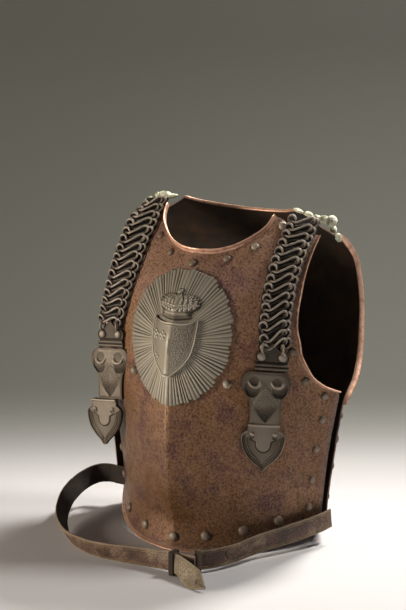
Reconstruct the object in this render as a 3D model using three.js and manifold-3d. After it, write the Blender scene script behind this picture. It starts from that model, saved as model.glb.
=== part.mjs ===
// Cavalry cuirass: a ridged breastplate and a backplate with turned-out lips, a rayed plaque,
// two chain shoulder straps that end in cast plates, and one leather waist belt let down in front.
// Millimetres, +Z up. The front faces -Y and the side seams lie at Y = 0.

import * as THREE from 'three';
import Module from 'manifold-3d';
import { mergeVertices } from 'three/addons/utils/BufferGeometryUtils.js';

const wasm = await Module();
wasm.setup();

// Driving dimensions
const BREAST_THICKNESS = 2.4;
const BACK_THICKNESS = 1.8;
const EDGE_HEIGHT = 5;
const SEAM_HEIGHT = 35;
const RIDGE_HANDLE = 0.41;
const SIDE_HANDLE = 0.36;
const RIVET_RADIUS = 4.8;
const RIVET_HEIGHT = 3.2;
const RIVET_STANDOFF = 0.45;
const STUD_RADIUS = 5;
const STUD_LENGTH = 8;
const PLAQUE_CENTRE_HEIGHT = 282;
const PLAQUE_HALF_HEIGHT = 83;
const PLAQUE_HALF_WIDTH = 78;
const PLAQUE_LEFT_WIDTH = 86;
const PLAQUE_RAYS = 36;
const PLAQUE_STANDOFF = 1;
const STRAP_WIDTH = 38;
const STRAP_THICKNESS = 6.5;
const BELT_WIDTH = 25.6;
const BELT_THICKNESS = 3;
const LOOP_PLAY = 0.7;
const BACK_RING_SHARES = [1, 0.66, 0.33];

const MATERIALS = {
  rustedSteel: new THREE.MeshStandardMaterial({ color: '#8a5f48', roughness: 0.62, metalness: 0.7 }),
  castBrass: new THREE.MeshStandardMaterial({ color: '#8d856c', roughness: 0.5, metalness: 0.8 }),
  chainBrass: new THREE.MeshStandardMaterial({ color: '#6b6250', roughness: 0.55, metalness: 0.8 }),
  verdigris: new THREE.MeshStandardMaterial({ color: '#b9c0a6', roughness: 0.75, metalness: 0.4 }),
  leather: new THREE.MeshStandardMaterial({ color: '#5c4a3a', roughness: 0.8, metalness: 0 }),
};

// Level sections of the breastplate from the lower edge up: depth of the ridge, side end, and how
// far the section bends outward from its chord at the ridge and at the side, in degrees.
const BREAST_LEVELS = [
  { z: 0, centre: -129, sideX: 148, sideY: 0, ridgeBend: 34, sideBend: 26 },
  { z: 22, centre: -126, sideX: 149, sideY: 0, ridgeBend: 30, sideBend: 25 },
  { z: 44, centre: -125, sideX: 149, sideY: 0, ridgeBend: 26, sideBend: 24 },
  { z: 64, centre: -132, sideX: 151, sideY: 0, ridgeBend: 21, sideBend: 22 },
  { z: 84, centre: -139, sideX: 153, sideY: 0, ridgeBend: 19, sideBend: 20 },
  { z: 110, centre: -142.5, sideX: 156, sideY: 0, ridgeBend: 18, sideBend: 20 },
  { z: 150, centre: -144, sideX: 162, sideY: 0, ridgeBend: 18, sideBend: 20 },
  { z: 182, centre: -142.5, sideX: 168, sideY: 0, ridgeBend: 17, sideBend: 20 },
  { z: 208, centre: -140, sideX: 172, sideY: 0, ridgeBend: 16, sideBend: 20 },
  { z: 238, centre: -136.5, sideX: 170, sideY: -12, ridgeBend: 13, sideBend: 17 },
  { z: 270, centre: -132, sideX: 158, sideY: -32, ridgeBend: 9, sideBend: 13 },
  { z: 294, centre: -126, sideX: 146, sideY: -43, ridgeBend: 7, sideBend: 10 },
  { z: 318, centre: -115, sideX: 140, sideY: -42, ridgeBend: 6, sideBend: 9 },
  { z: 341, centre: -100, sideX: 139, sideY: -36, ridgeBend: 6, sideBend: 8 },
  { z: 362, centre: -83.5, sideX: 138.5, sideY: -26, ridgeBend: 8, sideBend: 8 },
  { z: 384, centre: -66, sideX: 140, sideY: -11, ridgeBend: 10, sideBend: 8 },
  { z: 405, centre: -46, sideX: 142, sideY: 9, ridgeBend: 12, sideBend: 8 },
  { z: 432, centre: -16, sideX: 147, sideY: 33, ridgeBend: 14, sideBend: 8 },
];

// Level sections of the backplate, in the same terms.
const BACK_LEVELS = [
  { z: 0, centre: 95, sideX: 153.5, sideY: 4, ridgeBend: 31, sideBend: 34 },
  { z: 22, centre: 85, sideX: 154.5, sideY: 4, ridgeBend: 29, sideBend: 35 },
  { z: 50, centre: 80, sideX: 155.5, sideY: 4, ridgeBend: 27, sideBend: 36 },
  { z: 84, centre: 88, sideX: 159.5, sideY: 4, ridgeBend: 28, sideBend: 36 },
  { z: 125, centre: 97, sideX: 165.5, sideY: 4, ridgeBend: 29, sideBend: 36 },
  { z: 165, centre: 105, sideX: 171.5, sideY: 4, ridgeBend: 29, sideBend: 36 },
  { z: 196, centre: 110, sideX: 177.5, sideY: 5, ridgeBend: 29, sideBend: 36 },
  { z: 218, centre: 113, sideX: 180.5, sideY: 26, ridgeBend: 26, sideBend: 34 },
  { z: 240, centre: 115, sideX: 178.5, sideY: 46, ridgeBend: 21, sideBend: 28 },
  { z: 268, centre: 117, sideX: 173.5, sideY: 65, ridgeBend: 16, sideBend: 22 },
  { z: 302, centre: 118, sideX: 166.5, sideY: 84, ridgeBend: 11, sideBend: 14 },
  { z: 338, centre: 117, sideX: 160.5, sideY: 94, ridgeBend: 8, sideBend: 9 },
  { z: 360, centre: 112, sideX: 155.5, sideY: 95, ridgeBend: 7, sideBend: 8 },
  { z: 382, centre: 100, sideX: 147.5, sideY: 80, ridgeBend: 8, sideBend: 8 },
  { z: 398, centre: 89, sideX: 144.5, sideY: 58, ridgeBend: 12, sideBend: 10 },
  { z: 410, centre: 79, sideX: 143.5, sideY: 42, ridgeBend: 15, sideBend: 10 },
  { z: 436, centre: 55, sideX: 142.5, sideY: 22, ridgeBend: 14, sideBend: 9 },
];

// Cut edges in front view, from the middle outward (neck) and from the seam upward (armhole).
const BREAST_NECK = [
  { x: 0, z: 384 },
  { x: 25, z: 385.5 },
  { x: 47, z: 392 },
  { x: 62, z: 401 },
  { x: 72, z: 409.5 },
  { x: 77, z: 418 },
  { x: 79, z: 428 },
];
const BREAST_SHOULDER = { x: 137.5, z: 406 };
const BREAST_ARMHOLE = [
  { x: 172, z: 208 },
  { x: 166, z: 213 },
  { x: 158, z: 221 },
  { x: 149, z: 236 },
  { x: 141, z: 261 },
  { x: 136.5, z: 290 },
  { x: 134, z: 325 },
  { x: 134.5, z: 355 },
  { x: 135.5, z: 384 },
  { x: 137.5, z: 406 },
];
const BACK_NECK = [
  { x: 0, z: 416 },
  { x: 30, z: 417 },
  { x: 57, z: 420 },
  { x: 74, z: 424 },
  { x: 84, z: 428 },
];
const BACK_SHOULDER = { x: 136, z: 394 };
const BACK_ARMHOLE = [
  { x: 175, z: 190 },
  { x: 176, z: 216 },
  { x: 171, z: 240 },
  { x: 165, z: 268 },
  { x: 157, z: 302 },
  { x: 150, z: 332 },
  { x: 144, z: 354 },
  { x: 139, z: 374 },
  { x: 136, z: 394 },
];

// Sections of the rolled lips: outward past the cut edge, and out from the plate.
const WIDE_LIP = [
  { out: -2.6, up: -1.2 },
  { out: 1.4, up: -1.6 },
  { out: 3.0, up: 1.4 },
  { out: 4.0, up: 4.6 },
  { out: 2.6, up: 7.4 },
  { out: -0.4, up: 8.2 },
  { out: -3.2, up: 6.8 },
  { out: -3.4, up: 3.6 },
];
const LOW_LIP = [
  { out: -2.2, up: -1.4 },
  { out: 1.2, up: -1.4 },
  { out: 2.4, up: 1.2 },
  { out: 1.8, up: 3.8 },
  { out: -0.4, up: 4.6 },
  { out: -2.6, up: 3.2 },
];

// Smooth value of one column of a table at a height, by cubic steps with shared slopes.
function smoothValue(rows, key, at) {
  const last = rows.length - 2;
  let index = rows.findIndex((row) => row.z > at) - 1;
  index = index < -1 ? last : Math.min(Math.max(index, 0), last);
  const slope = (i) => {
    const low = rows[Math.max(i - 1, 0)];
    const high = rows[Math.min(i + 1, rows.length - 1)];
    return (high[key] - low[key]) / (high.z - low.z);
  };
  const from = rows[index];
  const to = rows[index + 1];
  const span = to.z - from.z;
  const s = THREE.MathUtils.clamp((at - from.z) / span, -0.5, 1.5);
  const s2 = s * s;
  const s3 = s2 * s;
  return (
    from[key] * (2 * s3 - 3 * s2 + 1) +
    slope(index) * span * (s3 - 2 * s2 + s) +
    to[key] * (3 * s2 - 2 * s3) +
    slope(index + 1) * span * (s3 - s2)
  );
}

// The outer skin of one plate: across runs from -1 to 1, side to side, and z is the height.
class PlateSkin {
  constructor(levels, facing) {
    this.levels = levels;
    this.facing = facing;
  }

  point(across, z) {
    const value = (key) => smoothValue(this.levels, key, z);
    const start = new THREE.Vector2(0, value('centre'));
    const end = new THREE.Vector2(value('sideX'), value('sideY'));
    const chord = end.clone().sub(start);
    const handle = (length, bend) => chord.clone().multiplyScalar(length)
      .rotateAround(new THREE.Vector2(), THREE.MathUtils.degToRad(this.facing * bend));
    const first = handle(RIDGE_HANDLE, value('ridgeBend')).add(start);
    const second = handle(-SIDE_HANDLE, -value('sideBend')).add(end);
    const curve = new THREE.CubicBezierCurve(start, first, second, end);
    const flat = curve.getPoint(Math.abs(across));
    return new THREE.Vector3(Math.sign(across) * flat.x, flat.y, z);
  }

  // Outward unit normal, taken from one side of the ridge only.
  normal(across, z) {
    const side = across < 0 ? -1 : 1;
    const a = Math.max(Math.abs(across), 0.002);
    const alongX = this.point(side * (a + 0.002), z).sub(this.point(side * (a - 0.002), z));
    const alongZ = this.point(side * a, z + 0.5).sub(this.point(side * a, z - 0.5));
    const normal = alongX.cross(alongZ).normalize();
    if (normal.y * this.facing < 0) {
      normal.negate();
    }
    if (Math.abs(across) < 0.001) {
      normal.setX(0).normalize();
    }
    return normal;
  }

  // The place on the skin that has this X at this height.
  acrossAt(x, z) {
    let low = 0;
    let high = 1.1;
    for (let step = 0; step < 30; step += 1) {
      const middle = (low + high) / 2;
      if (this.point(middle, z).x < Math.abs(x)) {
        low = middle;
      } else {
        high = middle;
      }
    }
    return Math.sign(x) * ((low + high) / 2);
  }

  // A point at X and Z, standing out from the skin.
  at(x, z, out = 0) {
    const across = this.acrossAt(x, z);
    return this.point(across, z).addScaledVector(this.normal(across, z), out);
  }
}

const breastSkin = new PlateSkin(BREAST_LEVELS, -1);
const backSkin = new PlateSkin(BACK_LEVELS, 1);

// Evenly spaced point along a list of plan points, by share of its length.
function alongPath(points, share) {
  const steps = points.slice(1).map((p, i) => p.distanceTo(points[i]));
  let left = THREE.MathUtils.clamp(share, 0, 1) * steps.reduce((sum, step) => sum + step, 0);
  for (const [i, step] of steps.entries()) {
    if (left <= step || i === steps.length - 1) {
      return points[i].clone().lerp(points[i + 1], Math.min(left / step, 1));
    }
    left -= step;
  }
  return points.at(-1).clone();
}

// The outline of half a plate in (across, z), and the smooth net stretched inside it.
class PlateOutline {
  constructor(skin, { neck, shoulder, armhole, seamBase, edgeRise, seamShare, neckShare }) {
    const place = ({ x, z }) => new THREE.Vector2(skin.acrossAt(x, z), z);
    const curve = (rows) => new THREE.SplineCurve(rows.map(place));
    this.skin = skin;
    this.neckCurve = curve(neck);
    this.armholeCurve = curve(armhole);
    this.shoulderEnd = place(shoulder);
    this.frontBase = EDGE_HEIGHT;
    this.seamBase = seamBase;
    this.edgeRise = edgeRise;
    this.seamShare = seamShare;
    this.neckShare = neckShare;
    this.neckHeight = neck[0].z;
  }

  bottom(u) {
    return new THREE.Vector2(u, THREE.MathUtils.lerp(this.frontBase, this.seamBase, u ** this.edgeRise));
  }

  side(v) {
    const seamTop = this.armholeCurve.getPoint(0);
    if (v <= this.seamShare) {
      return this.bottom(1).lerp(seamTop, v / this.seamShare);
    }
    return this.armholeCurve.getPointAt((v - this.seamShare) / (1 - this.seamShare));
  }

  middle(v) {
    return new THREE.Vector2(0, THREE.MathUtils.lerp(this.frontBase, this.neckHeight, v));
  }

  top(u) {
    if (u <= this.neckShare) {
      return this.neckCurve.getPointAt(u / this.neckShare);
    }
    return this.neckCurve.getPoint(1).lerp(this.shoulderEnd, (u - this.neckShare) / (1 - this.neckShare));
  }

  // Plan place of a net point; u and v run from 0 to 1, and the sign of u picks the side.
  place(u, v) {
    const a = Math.abs(u);
    const plan = this.middle(v).multiplyScalar(1 - a)
      .addScaledVector(this.side(v), a)
      .addScaledVector(this.bottom(a), 1 - v)
      .addScaledVector(this.top(a), v)
      .addScaledVector(this.middle(0), -(1 - a) * (1 - v))
      .addScaledVector(this.side(0), -a * (1 - v))
      .addScaledVector(this.middle(1), -(1 - a) * v)
      .addScaledVector(this.side(1), -a * v);
    return new THREE.Vector2(Math.sign(u) * plan.x, plan.y);
  }

  point(u, v, out = 0) {
    const plan = this.place(u, v);
    return this.skin.point(plan.x, plan.y).addScaledVector(this.skin.normal(plan.x, plan.y), out);
  }

  normal(u, v) {
    const plan = this.place(u, v);
    return this.skin.normal(plan.x, plan.y);
  }
}

const breastOutline = new PlateOutline(breastSkin, {
  neck: BREAST_NECK,
  shoulder: BREAST_SHOULDER,
  armhole: BREAST_ARMHOLE,
  seamBase: SEAM_HEIGHT,
  edgeRise: 2.4,
  seamShare: 0.47,
  neckShare: 0.62,
});
const backOutline = new PlateOutline(backSkin, {
  neck: BACK_NECK,
  shoulder: BACK_SHOULDER,
  armhole: BACK_ARMHOLE,
  seamBase: SEAM_HEIGHT,
  edgeRise: 2.4,
  seamShare: 0.45,
  neckShare: 0.62,
});

// A closed body from corner points and triangles, turned so that its faces point out.
function body(points, faces) {
  let volume = 0;
  for (const [a, b, c] of faces) {
    volume += points[a].dot(points[b].clone().cross(points[c]));
  }
  const turned = volume < 0 ? faces.map(([a, b, c]) => [a, c, b]) : faces;
  return new wasm.Manifold(new wasm.Mesh({
    numProp: 3,
    vertProperties: Float32Array.from(points.flatMap((p) => p.toArray())),
    triVerts: Uint32Array.from(turned.flat()),
  }));
}

// A closed body from a three geometry, with its corners joined.
function solidOf(geometry, matrix = new THREE.Matrix4()) {
  const bare = geometry.clone().applyMatrix4(matrix);
  bare.deleteAttribute('normal');
  bare.deleteAttribute('uv');
  const joined = mergeVertices(bare, 1e-4);
  return new wasm.Manifold(new wasm.Mesh({
    numProp: 3,
    vertProperties: Float32Array.from(joined.attributes.position.array),
    triVerts: Uint32Array.from(joined.index.array),
  }));
}

// A named mesh from a closed body.
function meshOf(solid, name, material) {
  const mesh = solid.getMesh();
  const geometry = new THREE.BufferGeometry();
  geometry.setAttribute('position', new THREE.BufferAttribute(Float32Array.from(mesh.vertProperties), 3));
  geometry.setIndex(new THREE.BufferAttribute(Uint32Array.from(mesh.triVerts), 1));
  geometry.computeVertexNormals();
  const result = new THREE.Mesh(geometry, material);
  result.name = name;
  return result;
}

// A body swept along stations; each has a point and two directions that carry the section.
function sweep(stations, section) {
  const points = [];
  const faces = [];
  const count = section.length;
  for (const { point, outDir, upDir } of stations) {
    for (const { out, up } of section) {
      points.push(point.clone().addScaledVector(outDir, out).addScaledVector(upDir, up));
    }
  }
  for (let i = 0; i + 1 < stations.length; i += 1) {
    for (let j = 0; j < count; j += 1) {
      const a = i * count + j;
      const b = i * count + ((j + 1) % count);
      faces.push([a, b, b + count], [a, b + count, a + count]);
    }
  }
  const end = (stations.length - 1) * count;
  for (let j = 1; j + 1 < count; j += 1) {
    faces.push([0, j + 1, j], [end, end + j, end + j + 1]);
  }
  return body(points, faces);
}

// The wall of one plate: a net of outer and inner points, closed round its edge.
function plateWall(outline, thickness, columns, rows) {
  const points = [];
  const faces = [];
  const wide = 2 * columns + 1;
  const layer = wide * (rows + 1);
  for (const out of [0, -thickness]) {
    for (let j = 0; j <= rows; j += 1) {
      for (let i = -columns; i <= columns; i += 1) {
        points.push(outline.point(i / columns, j / rows, out));
      }
    }
  }
  for (let j = 0; j < rows; j += 1) {
    for (let i = 0; i < wide - 1; i += 1) {
      const a = j * wide + i;
      const [b, c, d] = [a + 1, a + wide + 1, a + wide];
      faces.push([a, b, c], [a, c, d]);
      faces.push([layer + a, layer + c, layer + b], [layer + a, layer + d, layer + c]);
    }
  }
  const rim = [];
  for (let i = 0; i < wide - 1; i += 1) {
    rim.push(i);
  }
  for (let j = 0; j < rows; j += 1) {
    rim.push(j * wide + wide - 1);
  }
  for (let i = wide - 1; i > 0; i -= 1) {
    rim.push(rows * wide + i);
  }
  for (let j = rows; j > 0; j -= 1) {
    rim.push(j * wide);
  }
  for (const [k, a] of rim.entries()) {
    const b = rim[(k + 1) % rim.length];
    faces.push([a, layer + b, b], [a, layer + a, layer + b]);
  }
  return body(points, faces);
}

// Stations along a run of net places; the out direction points away from the plate's middle.
function edgeStations(outline, places) {
  const points = places.map(([u, v]) => outline.point(u, v));
  return points.map((point, i) => {
    const before = points[Math.max(i - 1, 0)];
    const after = points[Math.min(i + 1, points.length - 1)];
    const [u, v] = places[i];
    const upDir = outline.normal(u, v);
    const outDir = after.clone().sub(before).normalize().cross(upDir).normalize();
    const inside = outline.point(u * 0.9, THREE.MathUtils.lerp(v, 0.5, 0.1));
    if (outDir.dot(point.clone().sub(inside)) < 0) {
      outDir.negate();
    }
    return { point, outDir, upDir: upDir.addScaledVector(outDir, 0.12).normalize() };
  });
}

function range(from, to, count) {
  return Array.from({ length: count + 1 }, (_, i) => THREE.MathUtils.lerp(from, to, i / count));
}

function neckPlaces(outline, steps) {
  return range(-outline.neckShare, outline.neckShare, steps).map((u) => [u, 1]);
}

function armholePlaces(outline, side, steps) {
  return range(outline.seamShare, 1, steps).map((v) => [side, v]);
}

function lowerPlaces(steps) {
  return range(-1, 1, steps).map((u) => [u, 0]);
}

// A low dome on the XY plane, rising along Z.
function domeGeometry(radius, height, sides) {
  const profile = [
    new THREE.Vector2(0, 0),
    new THREE.Vector2(radius, 0),
    new THREE.Vector2(radius * 0.78, height * 0.68),
    new THREE.Vector2(0, height),
  ];
  return new THREE.LatheGeometry(profile, sides).rotateX(Math.PI / 2);
}

// Turns and moves local Z onto a direction at a point.
function standOn(point, direction) {
  const turn = new THREE.Quaternion().setFromUnitVectors(new THREE.Vector3(0, 0, 1), direction);
  return new THREE.Matrix4().compose(point, turn, new THREE.Vector3(1, 1, 1));
}

function buildBreastplate() {
  let solid = plateWall(breastOutline, BREAST_THICKNESS, 10, 16);
  solid = solid.add(sweep(edgeStations(breastOutline, neckPlaces(breastOutline, 18)), WIDE_LIP));
  for (const side of [-1, 1]) {
    solid = solid.add(sweep(edgeStations(breastOutline, armholePlaces(breastOutline, side, 13)), WIDE_LIP));
  }
  solid = solid.add(sweep(edgeStations(breastOutline, lowerPlaces(18)), LOW_LIP));
  return meshOf(solid, 'breastplate', MATERIALS.rustedSteel);
}

function buildBackplate() {
  let solid = plateWall(backOutline, BACK_THICKNESS, 9, 14);
  solid = solid.add(sweep(edgeStations(backOutline, neckPlaces(backOutline, 14)), LOW_LIP));
  for (const side of [-1, 1]) {
    solid = solid.add(sweep(edgeStations(backOutline, armholePlaces(backOutline, side, 12)), WIDE_LIP));
  }
  solid = solid.add(sweep(edgeStations(backOutline, lowerPlaces(18)), LOW_LIP));
  return meshOf(solid, 'backplate', MATERIALS.rustedSteel);
}

// A raised piece on a surface: rings shrink its outline towards a centre, each with its own height.
// The back follows the same rings at the base height, and map turns (across, up, out) into space.
function reliefBody(outline, centre, rings, base, map) {
  const points = [];
  const faces = [];
  const count = outline.length;
  const front = [...rings].reverse().map(({ share, out }) => ({ share, out, raised: 1 }));
  const back = BACK_RING_SHARES.map((share) => ({ share, out: base, raised: 0 }));
  const loops = [...front, ...back];
  for (const { share, out, raised } of loops) {
    for (const { p, q, lift = 0 } of outline) {
      const across = THREE.MathUtils.lerp(centre.p, p, share);
      const height = THREE.MathUtils.lerp(centre.q, q, share);
      points.push(map(across, height, out + raised * lift));
    }
  }
  for (let k = 0; k + 1 < loops.length; k += 1) {
    for (let j = 0; j < count; j += 1) {
      const a = k * count + j;
      const b = k * count + ((j + 1) % count);
      faces.push([a, b, b + count], [a, b + count, a + count]);
    }
  }
  const top = points.length;
  const end = (loops.length - 1) * count;
  points.push(map(centre.p, centre.q, rings.at(-1).out), map(centre.p, centre.q, base));
  for (let j = 0; j < count; j += 1) {
    const next = (j + 1) % count;
    faces.push([top, next, j], [top + 1, end + j, end + next]);
  }
  return body(points, faces);
}

// Place on the breast a given way along the level section from the ridge, standing out from the skin.
function breastPlace(along, z, out) {
  const steps = 48;
  let across = 0;
  let travelled = 0;
  let last = breastSkin.point(0, z);
  for (let i = 1; i <= steps && travelled < Math.abs(along); i += 1) {
    const next = breastSkin.point(i / steps, z);
    const step = next.distanceTo(last);
    const share = Math.min((Math.abs(along) - travelled) / step, 1);
    across = (i - 1 + share) / steps;
    travelled += step;
    last = next;
  }
  across *= Math.sign(along);
  return breastSkin.point(across, z).addScaledVector(breastSkin.normal(across, z), out);
}

function buildPlaque() {
  const rays = [];
  for (let i = 0; i < PLAQUE_RAYS * 2; i += 1) {
    const angle = (i / (PLAQUE_RAYS * 2)) * Math.PI * 2;
    const ragged = 1 - 0.018 * (1 + Math.sin(i * 2.4)) * 0.5;
    const reach = i % 2 === 0 ? ragged : 0.955 * ragged;
    rays.push({
      p: Math.cos(angle) * (Math.cos(angle) > 0 ? PLAQUE_HALF_WIDTH : PLAQUE_LEFT_WIDTH) * reach,
      q: PLAQUE_CENTRE_HEIGHT + Math.sin(angle) * PLAQUE_HALF_HEIGHT * reach,
      lift: i % 2 === 0 ? 0.5 : -0.5,
    });
  }
  const rings = [
    { share: 1, out: PLAQUE_STANDOFF + 2.2 },
    { share: 0.68, out: PLAQUE_STANDOFF + 3.2 },
    { share: 0.36, out: PLAQUE_STANDOFF + 3.2 },
  ];
  const centre = { p: 0, q: PLAQUE_CENTRE_HEIGHT };
  const sun = reliefBody(rays, centre, rings, PLAQUE_STANDOFF, breastPlace);
  return sun.add(buildShield()).add(buildCrown());
}

// A smooth closed outline from its right half, top to bottom, mirrored to the left.
function mirroredOutline(half) {
  const left = half.filter(({ p }) => p > 0).map(({ p, q }) => ({ p: -p, q })).reverse();
  return [...half, ...left];
}

function buildShield() {
  const outline = mirroredOutline([
    { p: 0, q: 303 },
    { p: 15, q: 302.5 },
    { p: 31, q: 305 },
    { p: 31, q: 292 },
    { p: 30, q: 278 },
    { p: 26, q: 264 },
    { p: 18, q: 252 },
    { p: 8, q: 243 },
    { p: 0, q: 237 },
  ]);
  const rings = [
    { share: 1, out: PLAQUE_STANDOFF + 6.6 },
    { share: 0.88, out: PLAQUE_STANDOFF + 6.6 },
    { share: 0.82, out: PLAQUE_STANDOFF + 5.6 },
    { share: 0.4, out: PLAQUE_STANDOFF + 5.8 },
  ];
  return reliefBody(outline, { p: 0, q: 278 }, rings, PLAQUE_STANDOFF + 1.5, breastPlace);
}

function buildCrown() {
  const outline = mirroredOutline([
    { p: 0, q: 345 },
    { p: 3.5, q: 340 },
    { p: 12, q: 337 },
    { p: 24, q: 334 },
    { p: 33, q: 326 },
    { p: 33, q: 320 },
    { p: 26, q: 315 },
    { p: 24, q: 307 },
    { p: 12, q: 306 },
    { p: 0, q: 306 },
  ]);
  const rings = [
    { share: 1, out: PLAQUE_STANDOFF + 5.2 },
    { share: 0.7, out: PLAQUE_STANDOFF + 7 },
  ];
  return reliefBody(outline, { p: 0, q: 319 }, rings, PLAQUE_STANDOFF + 1.5, breastPlace);
}

// Route of a shoulder strap over the breast: X and height, and how far its back stands off the plate.
const RIGHT_ROUTE = [
  { x: 115, z: 424, off: 2.4 },
  { x: 114, z: 404, off: 2 },
  { x: 112.5, z: 380, off: 1.5 },
  { x: 112, z: 352, off: 1.2 },
  { x: 112.5, z: 325, off: 1.2 },
  { x: 113.5, z: 298, off: 1.2 },
  { x: 115.5, z: 279, off: 1.5 },
];
const LEFT_ROUTE = [
  { x: -101, z: 428, off: 2 },
  { x: -104, z: 408, off: 2 },
  { x: -107, z: 384, off: 1.5 },
  { x: -110, z: 358, off: 1.5 },
  { x: -113.5, z: 330, off: 1.5 },
  { x: -116.5, z: 302, off: 2 },
  { x: -119, z: 282, off: 3 },
];

function strapStations(route) {
  const curve = new THREE.CatmullRomCurve3(route.map(({ x, z, off }) => breastSkin.at(x, z, off)));
  const steps = 15;
  return range(0, 1, steps).map((share) => {
    const point = curve.getPointAt(share);
    const tangent = curve.getTangentAt(share);
    const normal = breastSkin.normal(breastSkin.acrossAt(point.x, point.z), point.z);
    const outDir = tangent.clone().cross(normal).normalize();
    const upDir = outDir.clone().cross(tangent).normalize();
    if (upDir.dot(normal) < 0) {
      upDir.negate();
    }
    return { point, outDir, upDir };
  });
}

function buildStrap(route, name) {
  const half = STRAP_WIDTH / 2;
  const edge = half - STRAP_THICKNESS * 0.4;
  const section = [
    { out: -edge, up: 0 },
    { out: edge, up: 0 },
    { out: half, up: STRAP_THICKNESS * 0.3 },
    { out: half, up: STRAP_THICKNESS * 0.7 },
    { out: edge, up: STRAP_THICKNESS },
    { out: 0, up: STRAP_THICKNESS },
    { out: -edge, up: STRAP_THICKNESS },
    { out: -half, up: STRAP_THICKNESS * 0.7 },
    { out: -half, up: STRAP_THICKNESS * 0.3 },
  ];
  return meshOf(sweep(strapStations(route), section), name, MATERIALS.chainBrass);
}

// Outlines of the end plates, right half from top to bottom; up is local Z and out is local -Y.
const CHAIN_PLATE_OUTLINE = [
  { p: 0, q: 0 },
  { p: 7, q: -8 },
  { p: 14, q: -7 },
  { p: 21, q: -9 },
  { p: 22, q: -16 },
  { p: 20, q: -24 },
  { p: 21, q: -25 },
  { p: 21, q: -33 },
  { p: 0, q: -33 },
];
const LOBED_PLATE_OUTLINE = [
  { p: 0, q: 0 },
  { p: 12, q: 0 },
  { p: 22, q: -1 },
  { p: 29, q: -7 },
  { p: 31.5, q: -15 },
  { p: 30, q: -24 },
  { p: 25, q: -30 },
  { p: 21, q: -38 },
  { p: 20, q: -48 },
  { p: 16, q: -58 },
  { p: 8, q: -64 },
  { p: 0, q: -66 },
];
const TIP_PLATE_OUTLINE = [
  { p: 0, q: 0 },
  { p: 20, q: 0 },
  { p: 21, q: -9 },
  { p: 27, q: -13 },
  { p: 28, q: -21 },
  { p: 25, q: -34 },
  { p: 16, q: -47 },
  { p: 0, q: -61 },
];

function flatMap(p, q, out) {
  return new THREE.Vector3(p, -out, q);
}

function localDome(p, q, out, radius, height) {
  const turn = new THREE.Matrix4().makeRotationX(Math.PI / 2);
  return solidOf(domeGeometry(radius, height, 8), turn.setPosition(p, -out, q));
}

function chainPlateSolid() {
  const rings = [{ share: 1, out: 2.6 }, { share: 0.86, out: 3.4 }];
  let solid = reliefBody(mirroredOutline(CHAIN_PLATE_OUTLINE), { p: 0, q: -18 }, rings, 0, flatMap);
  for (const side of [-1, 1]) {
    solid = solid.add(localDome(side * 13.5, -16, 3, 5.6, 3.8));
  }
  for (const q of [-25.5, -31]) {
    const bar = new THREE.CylinderGeometry(1.8, 1.8, 42, 8).rotateZ(Math.PI / 2).translate(0, -3, q);
    solid = solid.add(solidOf(bar));
  }
  return solid;
}

function lobedPlateSolid() {
  const rings = [{ share: 1, out: 2.6 }, { share: 0.9, out: 4 }, { share: 0.74, out: 2.8 }];
  let solid = reliefBody(mirroredOutline(LOBED_PLATE_OUTLINE), { p: 0, q: -28 }, rings, 0, flatMap);
  for (const side of [-1, 1]) {
    solid = solid.add(localDome(side * 15, -16, 2.4, 8, 3.6));
  }
  const leaf = mirroredOutline([
    { p: 0, q: -20 },
    { p: 8, q: -30 },
    { p: 12, q: -42 },
    { p: 8, q: -53 },
    { p: 0, q: -60 },
  ]);
  const leafRings = [{ share: 1, out: 3.6 }, { share: 0.4, out: 5.2 }];
  return solid.add(reliefBody(leaf, { p: 0, q: -41 }, leafRings, 1, flatMap));
}

function tipPlateSolid() {
  const rings = [{ share: 1, out: 2.8 }, { share: 0.86, out: 3.4 }, { share: 0.8, out: 2.4 }];
  let solid = reliefBody(mirroredOutline(TIP_PLATE_OUTLINE), { p: 0, q: -22 }, rings, 0, flatMap);
  for (const side of [-1, 1]) {
    solid = solid.add(localDome(side * 15, -14, 2, 3.2, 3));
  }
  return solid;
}

// Each end plate's top point, its turn about the vertical, and its lean from upright, in degrees.
const END_PLATES = [
  { side: 'right', kind: 'chain', x: 117, y: -75, z: 275, yaw: 42, lean: -3 },
  { side: 'right', kind: 'lobed', x: 109.5, y: -78, z: 241, yaw: 44, lean: -2 },
  { side: 'right', kind: 'tip', x: 107, y: -81, z: 173, yaw: 44, lean: 1 },
  { side: 'left', kind: 'chain', x: -123, y: -79, z: 281, yaw: -20, lean: 0 },
  { side: 'left', kind: 'lobed', x: -122, y: -80, z: 247, yaw: -19, lean: 0 },
  { side: 'left', kind: 'tip', x: -126, y: -84, z: 178, yaw: -18, lean: 0 },
];
const END_PLATE_SOLIDS = { chain: chainPlateSolid, lobed: lobedPlateSolid, tip: tipPlateSolid };

function buildEndPlates() {
  return END_PLATES.map(({ side, kind, x, y, z, yaw, lean }) => {
    const mesh = meshOf(END_PLATE_SOLIDS[kind](), `${kind}_plate_${side}`, MATERIALS.castBrass);
    mesh.position.set(x, y, z);
    mesh.rotation.order = 'ZXY';
    mesh.rotation.set(THREE.MathUtils.degToRad(lean), 0, THREE.MathUtils.degToRad(yaw));
    return mesh;
  });
}

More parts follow.
